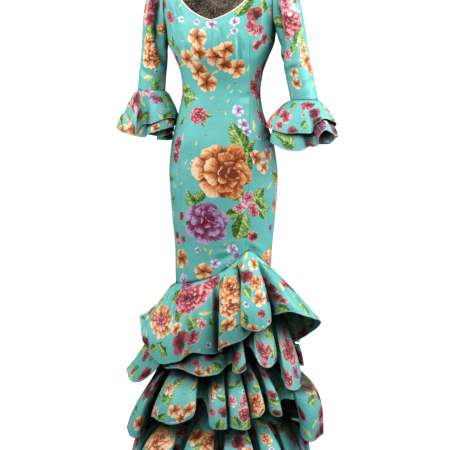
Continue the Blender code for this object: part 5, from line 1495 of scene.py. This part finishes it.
def cloth_on_ray(graph, start, way, prints):
    """The printed cloth that a line of sight meets first, and the face it meets."""
    for _ in range(12):
        hit, spot, _, face, thing, _ = bpy.context.scene.ray_cast(graph, start, way)
        if not hit:
            return None, 0
        if thing.name in prints:
            return prints[thing.name], face
        start = spot + way * 0.0001
    return None, 0


def chart_print(prints, graph):
    """Puts the charted flowers where the lines of sight meet the cloth."""
    turn = np.array(CAMERA.rotation_euler.to_matrix())
    for number, (px, py, kind, reach, angle, palette) in enumerate(CHART):
        start, way = camera_ray(px, py)
        sheet, face = cloth_on_ray(graph, start, way, prints)
        if sheet is None:
            continue
        _, n, flat, a0, b0 = face_map(sheet.info, face)
        a = math.radians(angle)
        go = turn[:, 0] * math.cos(a) + turn[:, 1] * math.sin(a)
        look = np.array(way)
        slant = float(look @ n)
        if abs(slant) < GRAZING:
            slant = math.copysign(GRAZING, slant)
        go = go - look * float(go @ n) / slant
        x, y = flat @ go
        sheet.stamp(a0, b0, kind, reach, math.atan2(y, x), palette, number * CHART_STEP)
        sheet.spots.append((a0, b0, reach))


def random_faces(info, rng, density, more=0):
    """Faces of the outside, drawn at random by their area."""
    p = info["verts"][info["faces"][: info["outer_faces"]]]
    size = np.linalg.norm(np.cross(p[:, 2] - p[:, 0], p[:, 3] - p[:, 1]), axis=1)
    draws = rng.random(int(0.5 * size.sum() * density) + more)
    share = np.cumsum(size) / size.sum()
    return [min(int(face), len(p) - 1) for face in np.searchsorted(share, draws)]


def scatter_print(prints, graph):
    """Sprays of flowers on cloth that the chart's lines of sight don't reach."""
    rng = np.random.default_rng(SPRAY_SEED)
    eye = np.array(CAMERA.location)
    placed = 0
    for sheet in prints.values():
        info = sheet.info
        for face in random_faces(info, rng, SPRAY_DENSITY, 12):
            spray = SPRAYS[int(rng.integers(len(SPRAYS)))]
            turn = rng.random() * 6.283
            centre, _, _, a0, b0 = face_map(info, face)
            reach = 34 + 0.45 * spray[0][1]
            if sheet.crowded(a0, b0, reach):
                continue
            to = centre - eye
            way = Vector(to / np.linalg.norm(to))
            hit, spot, _, _, _, _ = bpy.context.scene.ray_cast(graph, Vector(eye), way)
            if hit and np.linalg.norm(np.array(spot) - centre) < 0.006:
                continue
            sheet.spots.append((a0, b0, reach))
            girth = b0 if info["fan"] else info["mean_girth"]
            c = math.cos(turn)
            s = math.sin(turn)
            for flower, size, angle, palette, right, up in spray:
                x = (right * c - up * s) * 0.001
                y = (right * s + up * c) * 0.001
                placed += 1
                sheet.stamp(a0 + x / girth, b0 + y, flower, size * (0.86 + 0.26 * rng.random()),
                            turn + math.radians(angle), palette, placed * SPRAY_STEP)


def fill_print(prints):
    """Small flowers and sprigs in the gaps, dense on the flounces and open on the body."""
    rng = np.random.default_rng(FILL_SEED)
    placed = 0
    for sheet in prints.values():
        info = sheet.info
        for flowers, density, room in FRILL_PASSES if info["fan"] else FLAT_PASSES:
            for face in random_faces(info, rng, density):
                kind, reach, palette = flowers[int(rng.integers(len(flowers)))]
                turn = rng.random() * 6.283
                reach = reach * (0.85 + 0.3 * rng.random())
                _, _, _, a0, b0 = face_map(info, face)
                if sheet.crowded(a0, b0, reach * room):
                    continue
                sheet.spots.append((a0, b0, reach * room))
                placed += 1
                sheet.stamp(a0, b0, kind, reach, turn, palette, placed * FILL_STEP)


# ------------------------------------------------------------------ shader fields
class Field:
    """A number that varies over the cloth: the output of a shader node."""

    def __init__(self, tree, socket):
        self.tree = tree
        self.socket = socket

    def act(self, kind, *others, clamp=False):
        node = self.tree.nodes.new("ShaderNodeMath")
        node.operation = kind
        node.use_clamp = clamp
        for slot, item in zip(node.inputs, (self,) + others):
            plug(self.tree, item, slot)
        return Field(self.tree, node.outputs[0])

    def __add__(self, other):
        return self.act("ADD", other)

    def __mul__(self, other):
        return self.act("MULTIPLY", other)

    def __sub__(self, other):
        return self.act("SUBTRACT", other)

    def __rsub__(self, other):
        return (self * -1.0) + other

    def __truediv__(self, other):
        return self.act("DIVIDE", other)

    def size(self):
        return self.act("ABSOLUTE")

    def above(self, other):
        return self.act("GREATER_THAN", other)

    def below(self, other):
        return self.act("LESS_THAN", other)

    def ramp(self, low, high):
        """0 at low, 1 at high, straight between and clamped."""
        node = self.tree.nodes.new("ShaderNodeMapRange")
        plug(self.tree, self, node.inputs["Value"])
        plug(self.tree, low, node.inputs["From Min"])
        plug(self.tree, high, node.inputs["From Max"])
        return Field(self.tree, node.outputs[0])


def plug(tree, item, slot):
    """Joins a field to a socket, or sets a number on it."""
    if isinstance(item, Field):
        tree.links.new(item.socket, slot)
    else:
        slot.default_value = item


def choose(factor, low, high, kind="FLOAT"):
    """low where factor is 0, high where it is 1."""
    tree = factor.tree
    node = tree.nodes.new("ShaderNodeMix")
    node.data_type = kind
    first = {"FLOAT": 2, "VECTOR": 4, "RGBA": 6}[kind]
    plug(tree, factor, node.inputs[0])
    plug(tree, low, node.inputs[first])
    plug(tree, high, node.inputs[first + 1])
    return Field(tree, node.outputs[{"FLOAT": 0, "VECTOR": 1, "RGBA": 2}[kind]])


def attribute(tree, name, output="Vector"):
    node = tree.nodes.new("ShaderNodeAttribute")
    node.attribute_name = name
    return Field(tree, node.outputs[output])


def split(vector):
    node = vector.tree.nodes.new("ShaderNodeSeparateXYZ")
    plug(vector.tree, vector, node.inputs[0])
    return [Field(vector.tree, out) for out in node.outputs]


def join(tree, x, y, z):
    node = tree.nodes.new("ShaderNodeCombineXYZ")
    for slot, item in zip(node.inputs, (x, y, z)):
        plug(tree, item, slot)
    return Field(tree, node.outputs[0])


def noise(vector, scale, detail=1.0, rough=0.5, colour=False):
    node = vector.tree.nodes.new("ShaderNodeTexNoise")
    node.inputs["Scale"].default_value = scale
    node.inputs["Detail"].default_value = detail
    node.inputs["Roughness"].default_value = rough
    plug(vector.tree, vector, node.inputs["Vector"])
    return Field(vector.tree, node.outputs["Color" if colour else "Fac"])


def petal_turn(u, v, petals, seed):
    """Turn round the middle of a flower, counted in petals."""
    return v.act("ARCTAN2", u) * petals * (0.5 / math.pi) + seed


def distance(u, v):
    return (u * u + v * v).act("SQRT")


def srgb(r, g, b):
    """Linear colour of an 8-bit sRGB one."""
    return tuple((c / 255.0 / 12.92) if c <= 10 else ((c / 255.0 + 0.055) / 1.055) ** 2.4
                 for c in (r, g, b)) + (1.0,)


def colours(factor, stops):
    """Colour ramp through (place, sRGB colour) stops."""
    node = factor.tree.nodes.new("ShaderNodeValToRGB")
    plug(factor.tree, factor, node.inputs[0])
    bar = node.color_ramp.elements
    while len(bar) < len(stops):
        bar.new(1.0)
    for stop, (spot, _) in zip(bar, stops):
        stop.position = spot
    for stop, (_, colour) in zip(bar, stops):
        stop.color = srgb(*colour)
    return Field(factor.tree, node.outputs[0])


# palette, from the shade at the base of a petal to its lit edge
PALETTES = {
    ORANGE: ((104, 40, 30), (188, 96, 52), (240, 170, 104), (255, 238, 208)),
    CRIMSON: ((66, 16, 26), (150, 46, 60), (200, 88, 102), (246, 190, 194)),
    PINK: ((126, 34, 54), (196, 88, 108), (232, 156, 166), (252, 228, 228)),
    PURPLE: ((92, 16, 34), (150, 42, 64), (142, 100, 152), (212, 196, 228)),
    MAROON: ((46, 10, 18), (104, 28, 40), (150, 52, 66), (196, 108, 112)),
    GREEN: ((16, 38, 18), (64, 104, 42), (132, 172, 80), (220, 232, 170)),
    PALE: ((118, 150, 70), (168, 190, 98), (212, 218, 146), (238, 240, 206)),
    LILAC: ((128, 66, 112), (168, 128, 178), (216, 200, 230), (248, 246, 252)),
}
TONES = (0.04, 0.34, 0.66, 0.96)    # tone at which each of the four is met
TURQUOISE = (93, 177, 172)
TURQUOISE_LIGHT = (124, 206, 201)
# lighter teal painted onto the rolled hems as a highlight
PAINTED_HEM_HIGHLIGHT = (150, 212, 206)
# near black teal that paints shade into the colour of deep folds and of cloth under the flounces
PAINTED_FOLD_SHADE = (0.004, 0.012, 0.011, 1.0)
WOBBLE = 0.46           # how far noise moves the outline of a flower


def outline(place, form):
    """Whether the outline of one flower covers a place, and the warped place on it."""
    tree = place.tree
    u, v, seed = split(place)
    petals, width, palette = split(form)
    wobble = split(noise(join(tree, u, v, seed), 1.6, 2.0, 0.6, colour=True))
    u = u + (wobble[0] - 0.5) * WOBBLE
    v = v + (wobble[1] - 0.5) * WOBBLE
    across = (petal_turn(u, v, petals, seed).act("FRACT") - 0.5).size() * 2.0
    flower = 1.0 - across.act("POWER", 4.0) * width - distance(u, v)
    saw = (u * 7.0 + v.size() * 3.0).act("FRACT") * 0.07
    leaf = (1.0 - u * u) * (1.0 - u * 0.42) * width - saw - v.size()
    cover = choose(petals.above(0.5), leaf, flower).above(0.0) * palette.above(0.5)
    return cover, join(tree, u, v, seed)


# reach of the row, how far its middle is moved, turn in petals, where its shade starts
PETAL_ROWS = ((1.0, 0.0, 0.0, 0.40), (0.70, 0.10, 0.47, 0.40), (0.44, 0.22, 0.21, 0.30),
              (0.22, 0.30, 0.65, 0.55))


def petal_tone(u, v, petals, seed, many):
    """Tone of the petals, in four rows; the inner rows of a full flower sit off its middle."""
    tone = None
    for reach, off, shift_by, low in PETAL_ROWS:
        x = u - off if off else u
        y = v + off * 0.8 if off else v
        across = (petal_turn(x, y, petals, seed) + shift_by).act("FRACT") - 0.5
        edge = across.size() * 2.0
        q = distance(x, y) / ((1.0 - edge.act("POWER", 3.5) * 0.24) * reach)
        shade = q.ramp(low if off else choose(many, 0.10, low), 1.0)
        shade = shade * (1.0 - edge.act("POWER", 4.0) * 0.92) + across * 0.34 + 0.09
        tone = choose(q.below(1.0) * many, tone, shade) if off else shade
    return tone


def leaf_tone(u, v, seed):
    """Tone of a leaf: lit half, dark half, pale midrib and veins."""
    side = v.size()
    vein = ((u * 3.6 - side * 3.2).act("FRACT") - 0.5).size()
    rib = side.ramp(0.06, 0.0)
    green = v.ramp(-0.12, 0.12) * 0.30 + 0.34 + vein * 0.55 - side * 0.25
    return green + (noise(join(u.tree, u, v, seed), 4.0, 1.0) - 0.5) * 0.9 + rib * 0.35


def flower_colour(place, form):
    """Colour of a flower or leaf from its place on it."""
    tree = place.tree
    u, v, seed = split(place)
    petals, _, palette = split(form)
    r = distance(u, v)
    turn = petal_turn(u, v, petals, seed)
    many = petals.above(5.5)
    streak = noise(join(tree, turn * 4.0, r * 1.6, seed), 2.6, 3.0, 0.7)
    own = (seed * 7.31).act("FRACT")
    # each petal has its own tone
    petal = ((turn.act("FLOOR") * 0.381 + seed * 3.7).act("FRACT") - 0.5) * (1.0 - many * 0.3)
    tone = petal_tone(u, v, petals, seed, many) * 0.98 + (streak - 0.5) * 1.55
    tone = tone + (v - u) * 0.16 + own * 0.20 + petal * 0.50
    tone = tone - many * 0.18 - (1.0 - many) * 0.05
    tone = choose(petals.above(0.5), leaf_tone(u, v, seed), tone)
    heart = r.below(0.13) * petals.above(0.5)
    tone = tone.act("MULTIPLY", 1.0, clamp=True)
    # the print's few inks: the shades step more than they blend
    tone = tone * 0.4 + ((tone * 3.98).act("FLOOR") * 0.25 + 0.12) * 0.6
    # the chrysanthemum has a pink heart
    palette = choose(petals.above(10.0) * r.below(0.40), palette, float(PINK))
    palette = choose(heart * (1.0 - many), palette, float(GREEN))
    tone = choose(heart, tone, 0.10)
    stops = [((number - 1 + spot) / 8.0, colour) for number, shades in sorted(PALETTES.items())
             for spot, colour in zip(TONES, shades)]
    return colours((palette - 1.0 + tone * 0.92 + 0.04) / 8.0, stops)


# ------------------------------------------------------------------ materials
def new_cloth(name):
    """A cloth material with its tree, its shader and the place on the object as a field."""
    mat = bpy.data.materials.new(name)
    mat.use_nodes = True
    tree = mat.node_tree
    where = Field(tree, tree.nodes.new("ShaderNodeTexCoord").outputs["Object"])
    return mat, tree, tree.nodes["Principled BSDF"], where


def dress(tree, shader, colour, height, strength, depth):
    """Joins a colour and a bump to the shader."""
    tree.links.new(colour.socket, shader.inputs["Base Color"])
    bump = tree.nodes.new("ShaderNodeBump")
    bump.inputs["Strength"].default_value = strength
    bump.inputs["Distance"].default_value = depth
    plug(tree, height, bump.inputs["Height"])
    tree.links.new(bump.outputs[0], shader.inputs["Normal"])


def print_cloth():
    """Satin with the flower print: the highest layer that covers a place gives its colour; shade in
    deep folds and under the flounces and a highlight on the hems are painted into it.
    """
    mat, tree, shader, where = new_cloth("printed satin")
    cover = None
    for layer in reversed(range(LAYERS)):
        form = attribute(tree, "form%d" % layer)
        on, place = outline(attribute(tree, "place%d" % layer), form)
        if cover is None:
            cover, best_place, best_form = on, place, form
        else:
            best_place = choose(on, best_place, place, "VECTOR")
            best_form = choose(on, best_form, form, "VECTOR")
            cover = cover.act("MAXIMUM", on)
    cloud = noise(where, 16.0, 3.0, 0.6)
    speck = noise(where, 420.0, 2.0, 0.8)
    ground = colours(cloud.ramp(0.3, 0.7) * 0.5 + speck.ramp(0.30, 0.62) * 0.5,
                     ((0.0, TURQUOISE), (1.0, TURQUOISE_LIGHT)))
    colour = choose(cover, ground, flower_colour(best_place, best_form), "RGBA")
    room = attribute(tree, "open", "Fac")
    # painted shade: where a place sees little of the room, its colour goes towards near black
    colour = choose(room.ramp(0.86, 0.18) * 0.95, colour, PAINTED_FOLD_SHADE, "RGBA")
    # painted highlight along the rolled hems, only where they are open to the room
    hem = attribute(tree, "hem", "Fac") * room.ramp(0.1, 0.5)
    colour = choose(hem.ramp(0.25, 0.9) * 0.70, colour, srgb(*PAINTED_HEM_HIGHLIGHT), "RGBA")
    # satin face: fine slubs across and a soft crepe grain
    grain = noise(where, 620.0, 2.0, 0.7)
    slub = noise(join(tree, *[c * k for c, k in zip(split(where), (90.0, 90.0, 700.0))]), 1.0, 1.0)
    rough = (grain - 0.5) * 0.20 + (slub - 0.5) * 0.12 + 0.47
    tree.links.new(rough.socket, shader.inputs["Roughness"])
    dress(tree, shader, colour, grain + slub * 0.6, 0.25, 0.0006)
    shader.inputs["Specular IOR Level"].default_value = 0.42
    shader.inputs["Sheen Weight"].default_value = 0.22
    shader.inputs["Sheen Roughness"].default_value = 0.45
    shader.inputs["Sheen Tint"].default_value = srgb(200, 240, 236)
    return mat


def lining_cloth():
    mat, tree, shader, where = new_cloth("lining")
    fleck = noise(where, 210.0, 2.0, 0.8)
    patch = noise(where, 26.0, 3.0, 0.6)
    colour = colours((fleck + (patch - 0.5) * 0.5).ramp(0.36, 0.64),
                     ((0.0, (66, 54, 48)), (0.45, (122, 106, 92)), (1.0, (186, 170, 150))))
    dress(tree, shader, colour, fleck, 0.5, 0.0008)
    shader.inputs["Roughness"].default_value = 0.86
    shader.inputs["Sheen Weight"].default_value = 0.1
    return mat


def piping_cloth():
    mat, tree, shader, where = new_cloth("piping")
    fleck = noise(where, 480.0, 2.0, 0.7)
    colour = colours(fleck.ramp(0.3, 0.7), ((0.0, (226, 214, 202)), (1.0, (250, 245, 240))))
    dress(tree, shader, colour, fleck, 0.4, 0.0005)
    shader.inputs["Roughness"].default_value = 0.55
    return mat


PRINTS = {name: Print(info) for name, info in PIECES.items() if name != "back_lining_cloth"}
BODY_PANELS = [PRINTS[name] for name in PRINTS if name.startswith(("front_", "back_"))]
for sheet in BODY_PANELS:
    sheet.partners = [other for other in BODY_PANELS if other is not sheet]
bpy.context.view_layer.update()
GRAPH = bpy.context.evaluated_depsgraph_get()
chart_print(PRINTS, GRAPH)
scatter_print(PRINTS, GRAPH)
fill_print(PRINTS)
for sheet in PRINTS.values():
    sheet.store()

# ------------------------------------------------------------------ looks, the root, and the part's own meshes hidden
PRINTED = print_cloth()
LOOKS = {"back_lining": lining_cloth(), "neck_piping": piping_cloth()}
SLOTS = {"back_lining": "lining", "neck_piping": "piping"}
for node, obj in BUILT.items():
    obj.data.materials.append(LOOKS.get(node, PRINTED))
    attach(obj, "root")
    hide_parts(node)
    if node in SLOTS:
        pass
    elif "flounce" in node or node == "skirt_base":
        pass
    else:
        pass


def mesh_area(obj):
    """Area of one side of a cloth."""
    areas = np.zeros(len(obj.data.polygons))
    obj.data.polygons.foreach_get("area", areas)
    return 0.5 * float(areas.sum())


for node, obj in BUILT.items():
    if node == "neck_piping":
        continue
    area = mesh_area(obj)
    if "flounce" in node:
        length = PIECES[obj.name]["hem"]
        width = PIECES[obj.name]["height"]
        round(min(area, width * length), 4)
